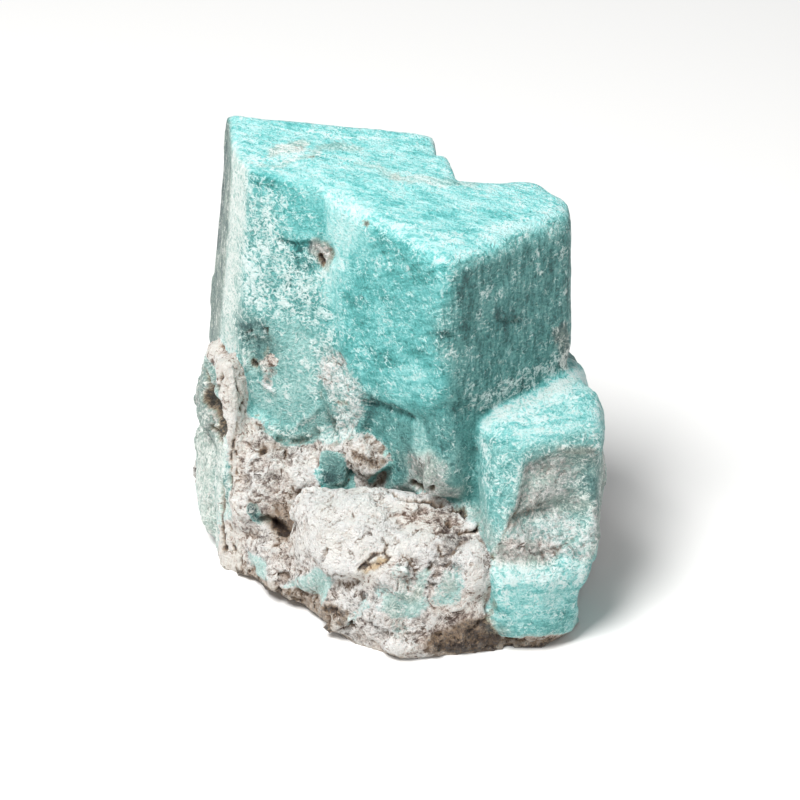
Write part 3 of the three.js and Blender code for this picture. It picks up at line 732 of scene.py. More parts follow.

# %% [markdown]
# ## Cuts and ridges
# The same strokes also shape the stone. A negative height cuts a crevice or a pit, and a positive one
# raises a rib. Each cut is also given how dark it is painted: partly the brown dirt that a crevice holds,
# and partly painted shade, where a crevice, a gap or an overhang is dark in shadow.

# %% Cuts
CUTS = (
    # height, half width, dirt and painted shade, then the spots
    (-0.25, 0.20, 0.6, (310, 157), (314, 156)),
    (-0.45, 0.55, 0.0, (282, 240), (292, 246), (303, 248), (312, 243)),
    (-0.22, 0.22, 0.0, (291, 255), (289, 275), (287, 302)),
    (-0.12, 0.18, 0.0, (272, 262), (274, 302)),
    (-0.70, 0.30, 0.5, (323, 256), (326, 266)),
    (-0.45, 0.20, 0.3, (320, 243), (331, 245), (335, 256)),
    (0.35, 0.35, 0.0, (317, 247), (320, 252)),
    (0.30, 0.30, 0.0, (329, 256), (329, 264)),
    # the broken patch: ribs and a slot under an arch
    (-0.60, 0.26, 0.35, (241, 337), (248, 330), (258, 327), (266, 332), (271, 342), (273, 350)),
    (-0.30, 0.20, 0.15, (245, 344), (252, 338), (260, 338), (266, 346)),
    (-0.40, 1.10, 0.0, (251, 342), (264, 345)),
    (0.50, 0.35, 0.0, (246, 350), (247, 370)),
    (0.40, 0.26, 0.0, (253, 350), (253, 368)),
    (-0.90, 0.26, 0.60, (258, 355), (257, 373)),
    (0.50, 0.32, 0.0, (244, 378), (256, 379), (264, 385), (273, 390)),
    (0.50, 0.60, 0.0, (268, 362), (266, 376)),
    (0.12, 0.14, 0.0, (300, 361), (318, 373)),
    # the left corner and flank
    (-0.45, 0.20, 0.5, (224, 348), (230, 354), (234, 364), (239, 386), (244, 402), (256, 414)),
    (-0.25, 0.14, 0.4, (229, 366), (231, 396)),
    (-0.20, 0.12, 0.3, (224, 362), (227, 382)),
    (-0.70, 0.45, 0.7, (206, 372), (209, 384), (213, 392), (219, 384), (222, 374)),
    (-1.40, 1.60, 0.8, (212, 398), (216, 410), (220, 424)),
    (-1.00, 0.90, 0.8, (214, 430), (219, 440)),
    (-0.50, 0.20, 0.6, (208, 340), (206, 358), (203, 372)),
    (-0.50, 0.20, 0.5, (199, 431), (210, 431)),
    (-0.80, 0.50, 0.7, (221, 480), (220, 505), (223, 545)),
    (-0.45, 0.20, 0.6, (231, 440), (230, 482), (230, 520), (233, 556)),
    (-0.30, 0.16, 0.5, (238, 420), (237, 470), (238, 520)),
    (-0.40, 0.20, 0.5, (239, 545), (243, 572)),
    (0.35, 0.30, 0.0, (225, 480), (226, 520)),
    (0.30, 0.30, 0.0, (234, 500), (237, 540)),
    # the slope
    (-0.60, 0.22, 0.5, (288, 450), (285, 466)),
    (-0.55, 0.25, 0.4, (260, 452), (274, 452), (284, 446)),
    (-0.45, 0.22, 0.4, (244, 480), (252, 490), (266, 488)),
    (-0.50, 0.22, 0.4, (250, 500), (262, 506), (274, 505)),
    (-0.60, 0.25, 0.4, (286, 537), (279, 545), (266, 551)),
    # the hole, its inside painted dark: dirt and painted shade
    (-1.60, 1.00, 0.30, (266, 520), (283, 527)),
    (-1.20, 0.60, 0.70, (279, 521), (286, 531)),
    (0.40, 0.40, 0.0, (270, 529), (276, 531)),
    (-0.90, 0.28, 0.8, (281, 574), (282, 592)),
    (-0.30, 0.18, 0.3, (322, 592), (314, 601), (299, 600), (289, 590)),
    (0.50, 1.20, 0.0, (300, 583), (312, 583)),
    (0.35, 0.90, 0.0, (256, 558), (260, 568)),
    # the ledge
    (-0.80, 0.22, 0.8, (322, 498), (335, 491), (346, 485), (362, 479)),
    (-0.70, 0.28, 0.8, (372, 485), (386, 488), (397, 496)),
    (-0.60, 0.30, 0.7, (328, 577), (334, 573), (341, 576)),
    (-0.40, 0.18, 0.9, (357, 579), (360, 568), (366, 557), (374, 551), (384, 550), (388, 557)),
    (-0.22, 0.12, 0.8, (365, 563), (372, 560), (379, 566), (386, 560)),
    (-0.45, 0.20, 0.4, (385, 548), (391, 541), (402, 537)),
    (-0.50, 0.22, 0.5, (396, 556), (408, 561), (419, 570)),
    (-0.60, 0.25, 0.6, (432, 562), (429, 576), (431, 592)),
    (-0.30, 0.16, 0.4, (411, 578), (413, 590), (417, 600)),
    (-0.45, 0.18, 0.6, (437, 546), (445, 553), (456, 552), (459, 542), (457, 531)),
    (-0.80, 0.25, 0.7, (449, 521), (451, 531), (462, 533), (473, 535), (479, 525)),
    (-0.45, 0.12, 0.7, (464, 517), (480, 519), (498, 516)),
    (-0.50, 0.18, 0.7, (481, 541), (491, 554), (494, 562), (490, 570)),
    # the gap under the grey knob, painted near black as shade
    (-1.40, 0.55, 1.0, (413, 484), (420, 489), (432, 491)),
    (-1.00, 0.45, 0.5, (397, 496), (412, 500), (428, 501), (446, 505), (460, 509)),
    (-1.00, 0.45, 1.0, (460, 508), (464, 514)),
    (0.35, 0.90, 0.0, (396, 586), (404, 592)),
    (0.40, 0.90, 0.0, (446, 572), (452, 584)),
    (-0.25, 0.16, 0.3, (350, 632), (362, 639), (378, 641)),
    (-0.35, 0.20, 0.4, (402, 636), (408, 640)),
    (-0.45, 0.30, 0.6, (322, 608), (336, 612)),
    # the corner between the crystals
    (-0.40, 0.45, 0.1, (350, 453), (364, 459), (376, 462)),
    (0.40, 0.25, 0.0, (326, 447), (345, 446), (362, 444), (384, 441)),
    (0.25, 0.18, 0.0, (358, 464), (352, 478)),
    (0.25, 0.18, 0.0, (368, 466), (366, 478)),
    # the crevice under the small crystal, painted near black as shade
    (-0.90, 0.30, 1.0, (316, 485), (322, 485)),
    (-0.60, 0.30, 0.7, (350, 480), (364, 477)),
    (-0.35, 0.20, 0.4, (336, 404), (346, 404)),
    (-0.30, 0.14, 0.3, (322, 372), (320, 390), (322, 402)),
    # the block's lip, notch and root
    (-0.65, 0.80, 0.0, (368, 403), (390, 410), (412, 419)),
    # the trench under the nose's lip and its left end hold a little painted shade
    (-1.20, 0.45, 0.10, (278, 438), (298, 442), (316, 435), (332, 420)),
    (0.40, 0.45, 0.0, (258, 416), (274, 424), (294, 427), (310, 419), (320, 406)),
    (-0.50, 0.35, 0.20, (242, 408), (258, 424), (268, 433)),
    (-0.40, 0.25, 0.2, (438, 338), (446, 332), (451, 340), (463, 336)),
    (-0.30, 0.22, 0.1, (501, 318), (516, 322)),
    (0.25, 0.20, 0.0, (552, 346), (557, 336), (562, 328)),
    (0.25, 0.20, 0.0, (557, 355), (563, 344)),
    (-0.25, 0.20, 0.1, (477, 386), (472, 396), (470, 430)),
    (0.18, 0.20, 0.0, (452, 425), (455, 470)),
    # the side crystal: the edge of the scoop, and the ridges in it
    (-0.30, 0.25, 0.25, (524, 484), (521, 498), (516, 514), (507, 531), (498, 545)),
    (-0.30, 0.90, 0.05, (548, 460), (562, 455), (592, 452)),
    (0.25, 0.60, 0.0, (534, 490), (556, 474), (580, 466)),
    (0.30, 0.80, 0.0, (540, 524), (566, 510), (594, 504)),
    (-0.30, 0.60, 0.06, (540, 552), (560, 549), (572, 538)),
    (-0.25, 0.50, 0.06, (512, 518), (530, 512), (545, 512)),
    (-0.25, 0.40, 0.08, (500, 566), (520, 565), (552, 564)),
)

carve = np.zeros(len(place))
for height, half, dirt_and_crevice_shade, *spots in CUTS:
    here = fade(reach(*spots, rim=min(RIM_DEPTH, 0.6 * half)), 0.3 * half, max(SOFT_LEAST, 1.1 * half))
    carve += height * here
    # each cut's dirt and painted shade goes into the stain
    amounts["stain"] = amounts["stain"] + dirt_and_crevice_shade * here
for quality in QUALITIES:
    amounts[quality] = np.clip(amounts[quality], 0, 1)
print(len(CUTS), "cuts, the deepest", round(-carve.min(), 2), "mm")

# %% [markdown]
# ## Relief
# Two minerals break in two ways. Amazonite cleaves flat and shows low waves and fine lines. Albite is an
# aggregate: lumps of a few millimetres, each a cluster of grains. Geometry Nodes displace every point
# along its normal with the same kinds of noise that the material will use, so bumps and colours can
# agree. The tree's inputs are the real sizes in millimetres. Smoothing comes first, three times as much
# where there is albite as on the crystals, so the lumps lose their corners and the crystals keep theirs.

# %% A helper for node trees
def add(tree, kind, inputs=None, **settings):
    """Adds a node. Settings are its properties. Inputs are values, nodes or sockets, by name or number."""
    node = tree.nodes.new(kind)
    for setting, value in settings.items():
        setattr(node, setting, value)
    for key, value in (inputs or {}).items():
        usable = [socket for socket in node.inputs if socket.enabled]
        socket = usable[key] if isinstance(key, int) else next(s for s in usable if s.name == key)
        if isinstance(value, bpy.types.Node):
            value = next(output for output in value.outputs if output.enabled)
        if isinstance(value, bpy.types.NodeSocket):
            tree.links.new(value, socket)
        else:
            socket.default_value = value
    return node


def store(mesh, name, values):
    """Writes one number a point to a named attribute of the mesh."""
    attribute = mesh.attributes.get(name) or mesh.attributes.new(name, "FLOAT", "POINT")
    attribute.data.foreach_set("value", np.asarray(values, np.float32))


# %% Patterns that both the relief and the colours use
def tilted(tree, place, frequency):
    """The height, about -0.5 to 0.5, of cells that each tilt their own way, as broken grains do."""
    cells = add(tree, "ShaderNodeTexVoronoi", {"Vector": place, "Scale": frequency})
    tilt = add(tree, "ShaderNodeVectorMath", {0: cells.outputs["Color"], 1: (0.5, 0.5, 0.5)}, operation="SUBTRACT")
    inside = add(tree, "ShaderNodeVectorMath", {0: place, 1: cells.outputs["Position"]}, operation="SUBTRACT")
    inside = add(tree, "ShaderNodeVectorMath", {0: inside, "Scale": frequency}, operation="SCALE")
    return add(tree, "ShaderNodeVectorMath", {0: inside, 1: tilt}, operation="DOT_PRODUCT").outputs["Value"]


def swaying(tree, place, frequency, amount):
    """The place, shifted by noise, so that a pattern of cells doesn't look regular."""
    sway = add(tree, "ShaderNodeTexNoise", {"Vector": place, "Scale": frequency, "Detail": 2.0})
    return add(
        tree, "ShaderNodeVectorMath", {0: sway.outputs["Color"], 1: (amount,) * 3, 2: place}, operation="MULTIPLY_ADD"
    )


def layered(tree, place, normal, stretch=4.0):
    """The place, squeezed so that a pattern there turns into thin layers with this normal."""
    across = add(tree, "ShaderNodeVectorMath", {0: place, 1: normal}, operation="DOT_PRODUCT").outputs["Value"]
    across = add(tree, "ShaderNodeMath", {0: across, 1: 1 - 1 / stretch}, operation="MULTIPLY")
    kept = add(tree, "ShaderNodeVectorMath", {0: normal, "Scale": across}, operation="SCALE")
    return add(tree, "ShaderNodeVectorMath", {0: place, 1: (1 / stretch,) * 3, 2: kept}, operation="MULTIPLY_ADD")


# %% The relief tree
SIZES = {
    "Lump size": 4.2,
    "Lump height": 0.95,
    "Block size": 3.1,
    "Block height": 2.10,
    "Chip size": 1.25,
    "Chip height": 0.80,
    "Crumb size": 0.8,
    "Crumb height": 0.22,
    "Crack spacing": 3.4,
    "Crack depth": 0.22,
    "Wave size": 7.0,
    "Wave height": 0.50,
    "Line spacing": 1.0,
    "Line height": 0.22,
    "Frost size": 1.0,
    "Frost height": 0.30,
}

relief = bpy.data.node_groups.new("stone relief", "GeometryNodeTree")
relief.interface.new_socket("Geometry", in_out="INPUT", socket_type="NodeSocketGeometry")
relief.interface.new_socket("Geometry", in_out="OUTPUT", socket_type="NodeSocketGeometry")
for name in SIZES:
    relief.interface.new_socket(name, in_out="INPUT", socket_type="NodeSocketFloat")

given = add(relief, "NodeGroupInput")
position = add(relief, "GeometryNodeInputPosition")
spot_mm = add(relief, "ShaderNodeVectorMath", {0: position, "Scale": 1 / MM}, operation="SCALE")
quality = {
    name: add(relief, "GeometryNodeInputNamedAttribute", {"Name": name}, data_type="FLOAT")
    for name in ("albite", "rough", "frost", "streak", *CLEAVAGES, "carve", "free")
}


def frequency(size_name):
    """One over a size, the scale that a texture needs for features of that size in millimetres."""
    return add(relief, "ShaderNodeMath", {0: 1.0, 1: given.outputs[size_name]}, operation="DIVIDE")


def part(pattern, height_name, middle, *weights):
    """A pattern less its middle value, times its height and its weights: one term of the relief."""
    term = add(relief, "ShaderNodeMath", {0: pattern, 1: middle}, operation="SUBTRACT")
    for weight in (given.outputs[height_name], *weights):
        term = add(relief, "ShaderNodeMath", {0: term, 1: weight}, operation="MULTIPLY")
    return term


crystal = add(relief, "ShaderNodeMath", {0: 1.0, 1: quality["albite"]}, operation="SUBTRACT")
bent = swaying(relief, spot_mm, 0.45, 2.4)
lumps = add(
    relief,
    "ShaderNodeTexVoronoi",
    {"Vector": bent, "Scale": frequency("Lump size"), "Smoothness": 0.35},
    feature="SMOOTH_F1",
)
seams = add(
    relief, "ShaderNodeTexVoronoi", {"Vector": bent, "Scale": frequency("Crack spacing")}, feature="DISTANCE_TO_EDGE"
)
crack = add(
    relief, "ShaderNodeMapRange", {"Value": seams, "From Min": 0.0, "From Max": 0.09, "To Min": 1.0, "To Max": 0.0}
)
broken = add(relief, "ShaderNodeTexNoise", {"Vector": spot_mm, "Scale": 0.35, "Detail": 2.0})
broken = add(relief, "ShaderNodeMapRange", {"Value": broken, "From Min": 0.45, "From Max": 0.60})
crumbs = add(relief, "ShaderNodeTexNoise", {"Vector": spot_mm, "Scale": frequency("Crumb size"), "Detail": 3.0})
waves = add(relief, "ShaderNodeTexNoise", {"Vector": spot_mm, "Scale": frequency("Wave size"), "Detail": 3.0})
lines = add(relief, "ShaderNodeVectorMath", {0: spot_mm, 1: (1.0, 1.0, 0.14)}, operation="MULTIPLY")
lines = add(relief, "ShaderNodeTexNoise", {"Vector": lines, "Scale": frequency("Line spacing"), "Detail": 3.0})
for name, normal in CLEAVAGES.items():
    sheets = layered(relief, spot_mm, normal)
    sheets = add(relief, "ShaderNodeTexNoise", {"Vector": sheets, "Scale": frequency("Line spacing"), "Detail": 3.0})
    lines = add(relief, "ShaderNodeMix", {"Factor": quality[name], "A": lines, "B": sheets}, data_type="FLOAT")
flakes = add(relief, "ShaderNodeTexNoise", {"Vector": spot_mm, "Scale": frequency("Frost size"), "Detail": 4.0})

terms = [
    part(lumps, "Lump height", 0.45, -1.0, quality["rough"]),
    part(tilted(relief, bent, frequency("Block size")), "Block height", 0.0, quality["rough"]),
    part(tilted(relief, bent, frequency("Chip size")), "Chip height", 0.0, quality["rough"]),
    part(crumbs, "Crumb height", 0.5, quality["albite"]),
    part(crack, "Crack depth", 0.0, -1.0, broken, quality["albite"]),
    part(waves, "Wave height", 0.5, crystal),
    part(lines, "Line height", 0.5, quality["streak"]),
    part(flakes, "Frost height", 0.5, quality["frost"], crystal),
]
height = quality["carve"]
for term in terms:
    height = add(relief, "ShaderNodeMath", {0: height, 1: term}, operation="ADD")
height = add(relief, "ShaderNodeMath", {0: height, 1: quality["free"]}, operation="MULTIPLY")
height = add(relief, "ShaderNodeMath", {0: height, 1: MM}, operation="MULTIPLY")
normal = add(relief, "GeometryNodeInputNormal")
shift = add(relief, "ShaderNodeVectorMath", {0: normal, "Scale": height}, operation="SCALE")
kept = add(
    relief,
    "GeometryNodeStoreNamedAttribute",
    {"Geometry": given.outputs["Geometry"], "Name": "rest", "Value": spot_mm},
    data_type="FLOAT_VECTOR",
)
moved = add(relief, "GeometryNodeSetPosition", {"Geometry": kept, "Offset": shift})
add(relief, "NodeGroupOutput", {"Geometry": moved})
print("the relief tree has", len(relief.nodes), "nodes")

# %% Smooth the albite, then displace the whole skin
ROUNDING = {"albite": 9, "crystal": 3}  # passes of smoothing

for name in ("albite", "rough", "frost", "streak", *CLEAVAGES):
    store(stone.data, name, amounts[name])
store(stone.data, "carve", carve)
store(stone.data, "free", np.clip((place[:, 2] - 0.1) / GROUND_MARGIN, 0, 1))

smooth_where("round the albite", amounts["albite"], ROUNDING["albite"])
smooth_where("round the crystals", 1 - amounts["albite"], ROUNDING["crystal"])

displace = stone.modifiers.new("relief", "NODES")
displace.node_group = relief
for item in relief.interface.items_tree:
    if item.name in SIZES:
        displace[item.identifier] = SIZES[item.name]
keep_result(stone)
stone.vertex_groups.clear()

shaped = points_of(stone.data)
shaped[:, 2] = np.maximum(shaped[:, 2], 0)
stone.data.vertices.foreach_set("co", (shaped * MM).astype(np.float32).ravel())
stone.data.update()
print("the relief moved points by up to", round(float(np.abs(shaped - place).max()), 2), "mm")

# %% [markdown]
# ## Hollows and edges
# The material darkens the colours in hollows, which is painted shade, with some brown dirt in the albite's
# hollows, and makes edges paler, partly as the wear of rubbing and partly as painted highlight. How far a
# point lies below or above the mean of the points around it tells which it is, so that too becomes an
# attribute. All the qualities are then stored on the finished skin, where the material can read them.

# %% Store what the material reads
HOLLOW_SIZE = 0.22  # millimetres below its surroundings where a point counts as fully in a hollow

skin_normals = normals_of(stone.data)
hollow = np.zeros(len(shaped))
for passes in (4, 24):
    around = spread(shaped, edges, passes)
    below = np.einsum("ij,ij->i", around - shaped, unit(spread(skin_normals, edges, passes)))
    hollow += 0.5 * np.clip(below / (HOLLOW_SIZE * math.sqrt(passes / 10)), -1, 1)
store(stone.data, "hollow", hollow)
for quality_name in QUALITIES:
    store(stone.data, quality_name, amounts[quality_name])
for name in ("carve", "free"):
    stone.data.attributes.remove(stone.data.attributes[name])
for polygon in stone.data.polygons:
    polygon.use_smooth = True
print("stored", sorted(a.name for a in stone.data.attributes if a.domain == "POINT" and a.data_type == "FLOAT"))

# %% [markdown]
# ## The two feldspars
# One material holds both minerals, because they grow into each other and a border between two materials
# would be a hard line. Every colour is given as the hex value a paint chart would have, and `linear`
# turns it into the light values that Blender works with.

# %% Colours
def linear(hex_colour):
    """An sRGB hex value as a linear colour with full alpha."""
    channels = [int(hex_colour[i : i + 2], 16) / 255 for i in (1, 3, 5)]
    return [c / 12.92 if c <= 0.04045 else ((c + 0.055) / 1.055) ** 2.4 for c in channels] + [1.0]


AMAZONITE = ("#c4f6f4", "#8fe0de", "#5cc0be", "#389793", "#1f605f")  # from palest to deepest
WEATHERED = ("#e3e8df", "#b9c5ba", "#8b9b93", "#637775", "#435657")  # the same, dulled by weathering
ALBITE_COOL = ("#6f6d6b", "#a8a7a4", "#dfdfdc", "#ffffff")  # from the darkest grain to the lightest
ALBITE_WARM = ("#66534a", "#a8958a", "#e0d1c6", "#fffbf3")
GOLDEN = ("#5a3d28", "#a07a52", "#c9a273", "#ecd0a4")  # the one grain that iron has tinted through
FROST = ("#e2fdfb", "#f8f9f2")  # crushed feldspar, fresh and weathered
# the darkest of these is near black: painted shade in crevices as well as dirt
STAIN_AND_CREVICE_SHADE = ("#d6b78a", "#8c745a", "#2e221a")  # a thin film of iron stain, a thick one, and what fills a crevice


def ramp(tree, factor, colours):
    """A colour ramp with the colours spread evenly."""
    node = add(tree, "ShaderNodeValToRGB", {"Fac": factor})
    while len(node.color_ramp.elements) < len(colours):
        node.color_ramp.elements.new(0.5)
    for index, colour in enumerate(colours):
        node.color_ramp.elements[index].position = index / (len(colours) - 1)
        node.color_ramp.elements[index].color = linear(colour)
    return node


# %% [markdown]
# The material is built from the inside out: the amazonite's own colour with its streaks, the veil of
# weathering, the white cleavage flecks, the albite with its grains, and last the stains, with painted shade.

# %% The material
feldspar = bpy.data.materials.new("rough feldspar: amazonite with albite")
feldspar.use_nodes = True
tree = feldspar.node_tree
tree.nodes.clear()

mm = add(tree, "ShaderNodeAttribute", attribute_name="rest").outputs["Vector"]
read = {
    name: add(tree, "ShaderNodeAttribute", attribute_name=name).outputs["Fac"]
    for name in (*QUALITIES, "hollow")
}


def mixed(kind, factor, first, second):
    return add(tree, "ShaderNodeMix", {"Factor": factor, "A": first, "B": second}, data_type=kind)


def noisy(place, frequency, roughness=0.6, detail=4.0):
    return add(
        tree,
        "ShaderNodeTexNoise",
        {"Vector": place, "Scale": frequency, "Detail": detail, "Roughness": roughness},
    ).outputs["Fac"]


def shifted(base, *terms):
    """A value plus patterns, each less a half and times its amount."""
    for pattern, amount in terms:
        term = add(tree, "ShaderNodeMath", {0: pattern, 1: 0.5}, operation="SUBTRACT")
        base = add(tree, "ShaderNodeMath", {0: term, 1: amount, 2: base}, operation="MULTIPLY_ADD")
    return base


def rising(value, start, end, top=1.0):
    """0 up to the start, then smoothly up to the top at the end."""
    return add(
        tree,
        "ShaderNodeMapRange",
        {"Value": value, "From Min": start, "From Max": end, "To Max": top},
        interpolation_type="SMOOTHSTEP",
    )


# streaks: the layers of each crystal's cleavage where they crop out, and upright lines elsewhere
curled = swaying(tree, mm, 1.1, 1.0)
waved = swaying(tree, mm, 0.4, 1.1)
standing = add(tree, "ShaderNodeVectorMath", {0: waved, 1: (1.0, 1.0, 0.16)}, operation="MULTIPLY")
streaks = noisy(standing, 1.6, 0.65, 5.0)
for name, normal in CLEAVAGES.items():
    streaks = mixed("FLOAT", read[name], streaks, noisy(layered(tree, waved, normal, 5.0), 1.4, 0.65, 5.0))
streaks = add(tree, "ShaderNodeMath", {0: streaks, 1: 0.5}, operation="SUBTRACT")
streaks = add(tree, "ShaderNodeMath", {0: streaks, 1: read["streak"], 2: 0.5}, operation="MULTIPLY_ADD")
dashes = noisy(curled, 2.2, 0.65)
clouds = noisy(mm, 0.30, 0.6, 3.0)
specks = noisy(mm, 2.4, 0.72)
grit = noisy(mm, 6.0, 0.7, 3.0)

foam = add(
    tree,
    "ShaderNodeTexNoise",
    {"Vector": curled, "Scale": 1.9, "Detail": 2.0, "Roughness": 0.65, "Offset": 1.0, "Gain": 2.0},
    noise_type="RIDGED_MULTIFRACTAL",
).outputs["Fac"]
foam = add(tree, "ShaderNodeMath", {0: foam, 1: 1.30}, operation="SUBTRACT")
clumps = noisy(curled, 0.75, 0.6, 3.0)

depth = shifted(read["blue"], (streaks, 1.3), (clouds, 0.5), (dashes, 0.6), (grit, 0.5))
depth = add(tree, "ShaderNodeMath", {0: foam, 1: -0.16, 2: depth}, operation="MULTIPLY_ADD")
# deeper blue in hollows is painted shade; paler on edges is partly wear and partly painted highlight
depth = add(tree, "ShaderNodeMath", {0: read["hollow"], 1: 0.07, 2: depth}, operation="MULTIPLY_ADD")
amazonite = mixed("RGBA", read["grey"], ramp(tree, depth, AMAZONITE), ramp(tree, depth, WEATHERED))

# cleavage flecks: white curls along the foam's ridges, denser where the stone is frosted
fleck = shifted(foam, (dashes, -1.0), (specks, 2.0), (streaks, -2.0), (clumps, -3.4), (clouds, -1.4))
# fewer flecks in hollows and more on edges: painted shade, and partly painted highlight
fleck = add(tree, "ShaderNodeMath", {0: read["hollow"], 1: -0.10, 2: fleck}, operation="MULTIPLY_ADD")
fleck = add(tree, "ShaderNodeMath", {0: read["frost"], 1: 1.15, 2: fleck}, operation="MULTIPLY_ADD")
fleck = rising(fleck, 0.42, 1.75, 1.0)
web = add(
    tree,
    "ShaderNodeTexNoise",
    {"Vector": curled, "Scale": 0.17, "Detail": 2.0, "Roughness": 0.4, "Offset": 1.0, "Gain": 2.0},
    noise_type="RIDGED_MULTIFRACTAL",
).outputs["Fac"]
web = add(tree, "ShaderNodeMath", {0: rising(web, 1.42, 1.52, 0.7), 1: rising(read["frost"], 0.1, 0.3)}, operation="MULTIPLY")
web = add(tree, "ShaderNodeMath", {0: web, 1: rising(dashes, 0.42, 0.55)}, operation="MULTIPLY")
fleck = add(tree, "ShaderNodeMath", {0: fleck, 1: web}, operation="MAXIMUM")
white = mixed("RGBA", read["grey"], linear(FROST[0]), linear(FROST[1]))
frosted = mixed("RGBA", fleck, amazonite, white)

# albite: sugary grains, each a little lighter or darker, with hair-thin dark veins, and painted shade in the hollows
bent = swaying(tree, mm, 0.45, 2.4)
cells = add(tree, "ShaderNodeTexVoronoi", {"Vector": bent, "Scale": 1.0 / 0.55})
cell_shade = add(tree, "ShaderNodeSeparateColor", {"Color": cells.outputs["Color"]})
pepper = rising(noisy(mm, 3.4, 0.6, 2.0), 0.55, 0.68)
veins = add(
    tree,
    "ShaderNodeTexNoise",
    {"Vector": bent, "Scale": 0.36, "Detail": 4.0, "Roughness": 0.6, "Offset": 1.0, "Gain": 2.0},
    noise_type="RIDGED_MULTIFRACTAL",
).outputs["Fac"]
vein = add(tree, "ShaderNodeMath", {0: rising(veins, 1.66, 1.95), 1: rising(specks, 0.42, 0.56)}, operation="MULTIPLY")
sugar = add(
    tree,
    "ShaderNodeTexNoise",
    {"Vector": bent, "Scale": 1.2, "Detail": 3.0, "Roughness": 0.6, "Offset": 1.0, "Gain": 2.0},
    noise_type="RIDGED_MULTIFRACTAL",
).outputs["Fac"]
sugar = add(tree, "ShaderNodeMath", {0: sugar, 1: 1.36}, operation="SUBTRACT")
lightness = shifted(0.93, (cell_shade, 0.24), (specks, 2.0), (grit, 1.6), (clouds, 0.8), (streaks, 1.2))
for amount_read, share in (
    (read["grey"], -0.60),
    (read["frost"], 0.22),
    # darker in hollows is painted shade; lighter on edges is partly wear and partly painted highlight
    (read["hollow"], -0.40),
    (pepper, -0.12),
    (vein, -0.85),
    (sugar, 0.30),
):
    lightness = add(tree, "ShaderNodeMath", {0: amount_read, 1: share, 2: lightness}, operation="MULTIPLY_ADD")
warmth = shifted(read["warm"], (clouds, 1.6), (specks, 0.8))
warmth = add(tree, "ShaderNodeClamp", {"Value": warmth})
albite = mixed("RGBA", warmth, ramp(tree, lightness, ALBITE_COOL), ramp(tree, lightness, ALBITE_WARM))
cover = rising(shifted(read["albite"], (specks, 0.9), (clouds, 0.8)), 0.26, 0.74)
minerals = mixed("RGBA", cover, frosted, albite)
minerals = mixed("RGBA", read["gold"], minerals, ramp(tree, lightness, GOLDEN))

# stains: a brown film of iron, near black in a crevice where it is painted shade, and brown-grey in the albite's
# hollows, partly dirt and partly painted shade
soil_and_shade = shifted(read["stain"], (specks, 0.8), (grit, 0.6), (streaks, -0.9))
# brown-grey painted shade in the albite's hollows, partly dirt
in_hollow = add(tree, "ShaderNodeMath", {0: read["hollow"], 1: cover}, operation="MULTIPLY")
soil_and_shade = add(tree, "ShaderNodeMath", {0: rising(in_hollow, 0.35, 1.0, 0.30), 1: soil_and_shade}, operation="ADD")
soiled = add(tree, "ShaderNodeMath", {0: vein, 1: cover}, operation="MULTIPLY")
soiled = add(tree, "ShaderNodeMath", {0: soiled, 1: rising(clouds, 0.42, 0.62)}, operation="MULTIPLY")
soil_and_shade = add(tree, "ShaderNodeMath", {0: soiled, 1: 0.30, 2: soil_and_shade}, operation="MULTIPLY_ADD")
soil_and_shade = add(tree, "ShaderNodeClamp", {"Value": soil_and_shade})
dirt_and_crevice_shade = ramp(tree, shifted(soil_and_shade, (specks, 1.4), (grit, 1.0)), STAIN_AND_CREVICE_SHADE)
colour = mixed("RGBA", rising(soil_and_shade, 0.05, 0.80, 0.90), minerals, dirt_and_crevice_shade)

# fine relief that the mesh is too coarse for, up to a few tenths of a millimetre high
crystal_grit = shifted(0.0, (streaks, 0.9), (dashes, 0.8), (grit, 0.6))
crystal_grit = add(tree, "ShaderNodeMath", {0: foam, 1: 0.30, 2: crystal_grit}, operation="MULTIPLY_ADD")
chips = tilted(tree, bent, 1.0 / 0.8)
crumbs = tilted(tree, bent, 1.0 / 0.38)
albite_grit = shifted(0.0, (specks, 1.2), (grit, 0.9))
for pattern, share in ((chips, 0.8), (crumbs, 0.6), (sugar, 0.45), (vein, -0.60)):
    albite_grit = add(tree, "ShaderNodeMath", {0: pattern, 1: share, 2: albite_grit}, operation="MULTIPLY_ADD")
fine = mixed("FLOAT", cover, crystal_grit, albite_grit)
bump = add(tree, "ShaderNodeBump", {"Strength": 0.9, "Distance": 0.5 * MM, "Height": fine})

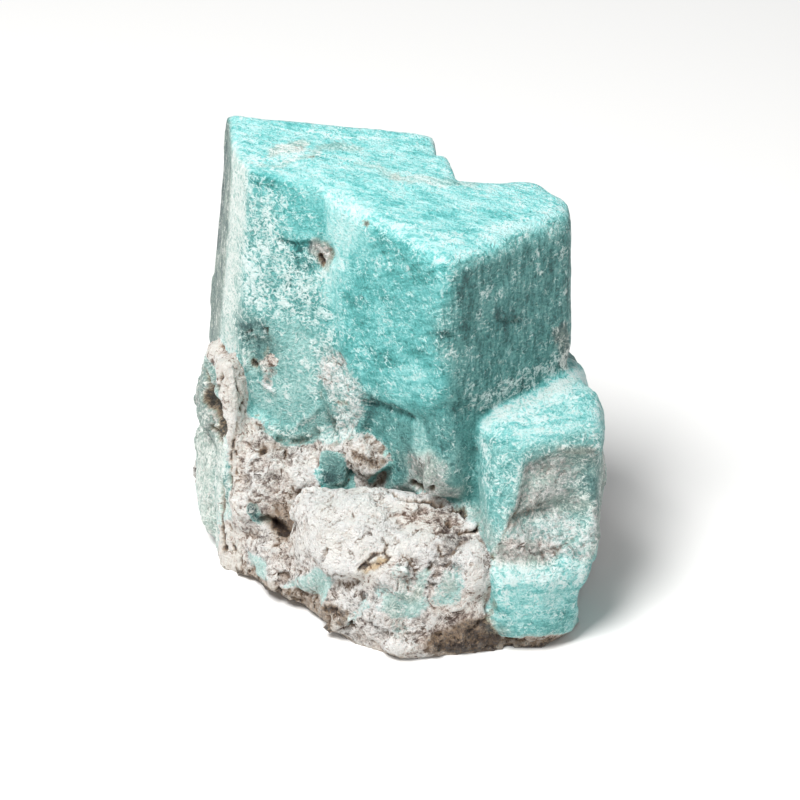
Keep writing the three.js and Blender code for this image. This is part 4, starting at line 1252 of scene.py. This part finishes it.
surface_shader = add(
    tree,
    "ShaderNodeBsdfPrincipled",
    {
        "Base Color": colour,
        "Roughness": mixed("FLOAT", cover, 0.46, 0.72),
        "Normal": bump,
        "IOR": 1.52,
        "Specular IOR Level": 0.4,
        "Subsurface Weight": 0.08,
        "Subsurface Radius": (0.6, 0.8, 0.8),
        "Subsurface Scale": MM,
    },
)
add(tree, "ShaderNodeOutputMaterial", {"Surface": surface_shader})
stone.data.materials.clear()
stone.data.materials.append(feldspar)
print("the material has", len(tree.nodes), "nodes")

# %% The stone stands for the solid
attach(stone, "root")
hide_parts(NODE)

# %% [markdown]
# ## Table and light
# The stone lies on a pale matt table under soft light: a broad lamp high on the left, an even pale
# sky for the shadows, and nothing else, so the facets' own directions make the shading.

# %% The table and the lamps
TABLE_SIDE = 4.0  # metres
table_mesh = bpy.data.meshes.new("table")
corner = TABLE_SIDE / 2
table_mesh.from_pydata(
    [(-corner, -corner, 0), (corner, -corner, 0), (corner, corner, 0), (-corner, corner, 0)], [], [(0, 1, 2, 3)]
)
table = bpy.data.objects.new("table", table_mesh)
bpy.context.scene.collection.objects.link(table)
paper = bpy.data.materials.new("matt white paper")
paper.use_nodes = True
paper_shader = paper.node_tree.nodes["Principled BSDF"]
paper_shader.inputs["Base Color"].default_value = linear("#f4f3f1")
paper_shader.inputs["Roughness"].default_value = 0.9
table_mesh.materials.append(paper)

world = bpy.data.worlds.new("soft sky")
bpy.context.scene.world = world
world.use_nodes = True
sky = world.node_tree.nodes["Background"]
sky.inputs["Color"].default_value = linear("#f6f8fa")
sky.inputs["Strength"].default_value = 0.38


def lamp(name, direction, power, size):
    """A square area lamp half a metre from the stone, in that direction, turned towards it."""
    light = bpy.data.objects.new(name, bpy.data.lights.new(name, "AREA"))
    light.data.shape = "SQUARE"
    light.data.size = size
    light.data.energy = power
    light.location = LOOK_AT + Vector(direction).normalized() * 0.5
    light.rotation_mode = "QUATERNION"
    light.rotation_quaternion = (LOOK_AT - light.location).to_track_quat("-Z", "Y")
    bpy.context.scene.collection.objects.link(light)


lamp("window light", (-0.30, -0.34, 0.89), 3.42, 0.20)
bpy.context.scene.view_settings.view_transform = "Standard"
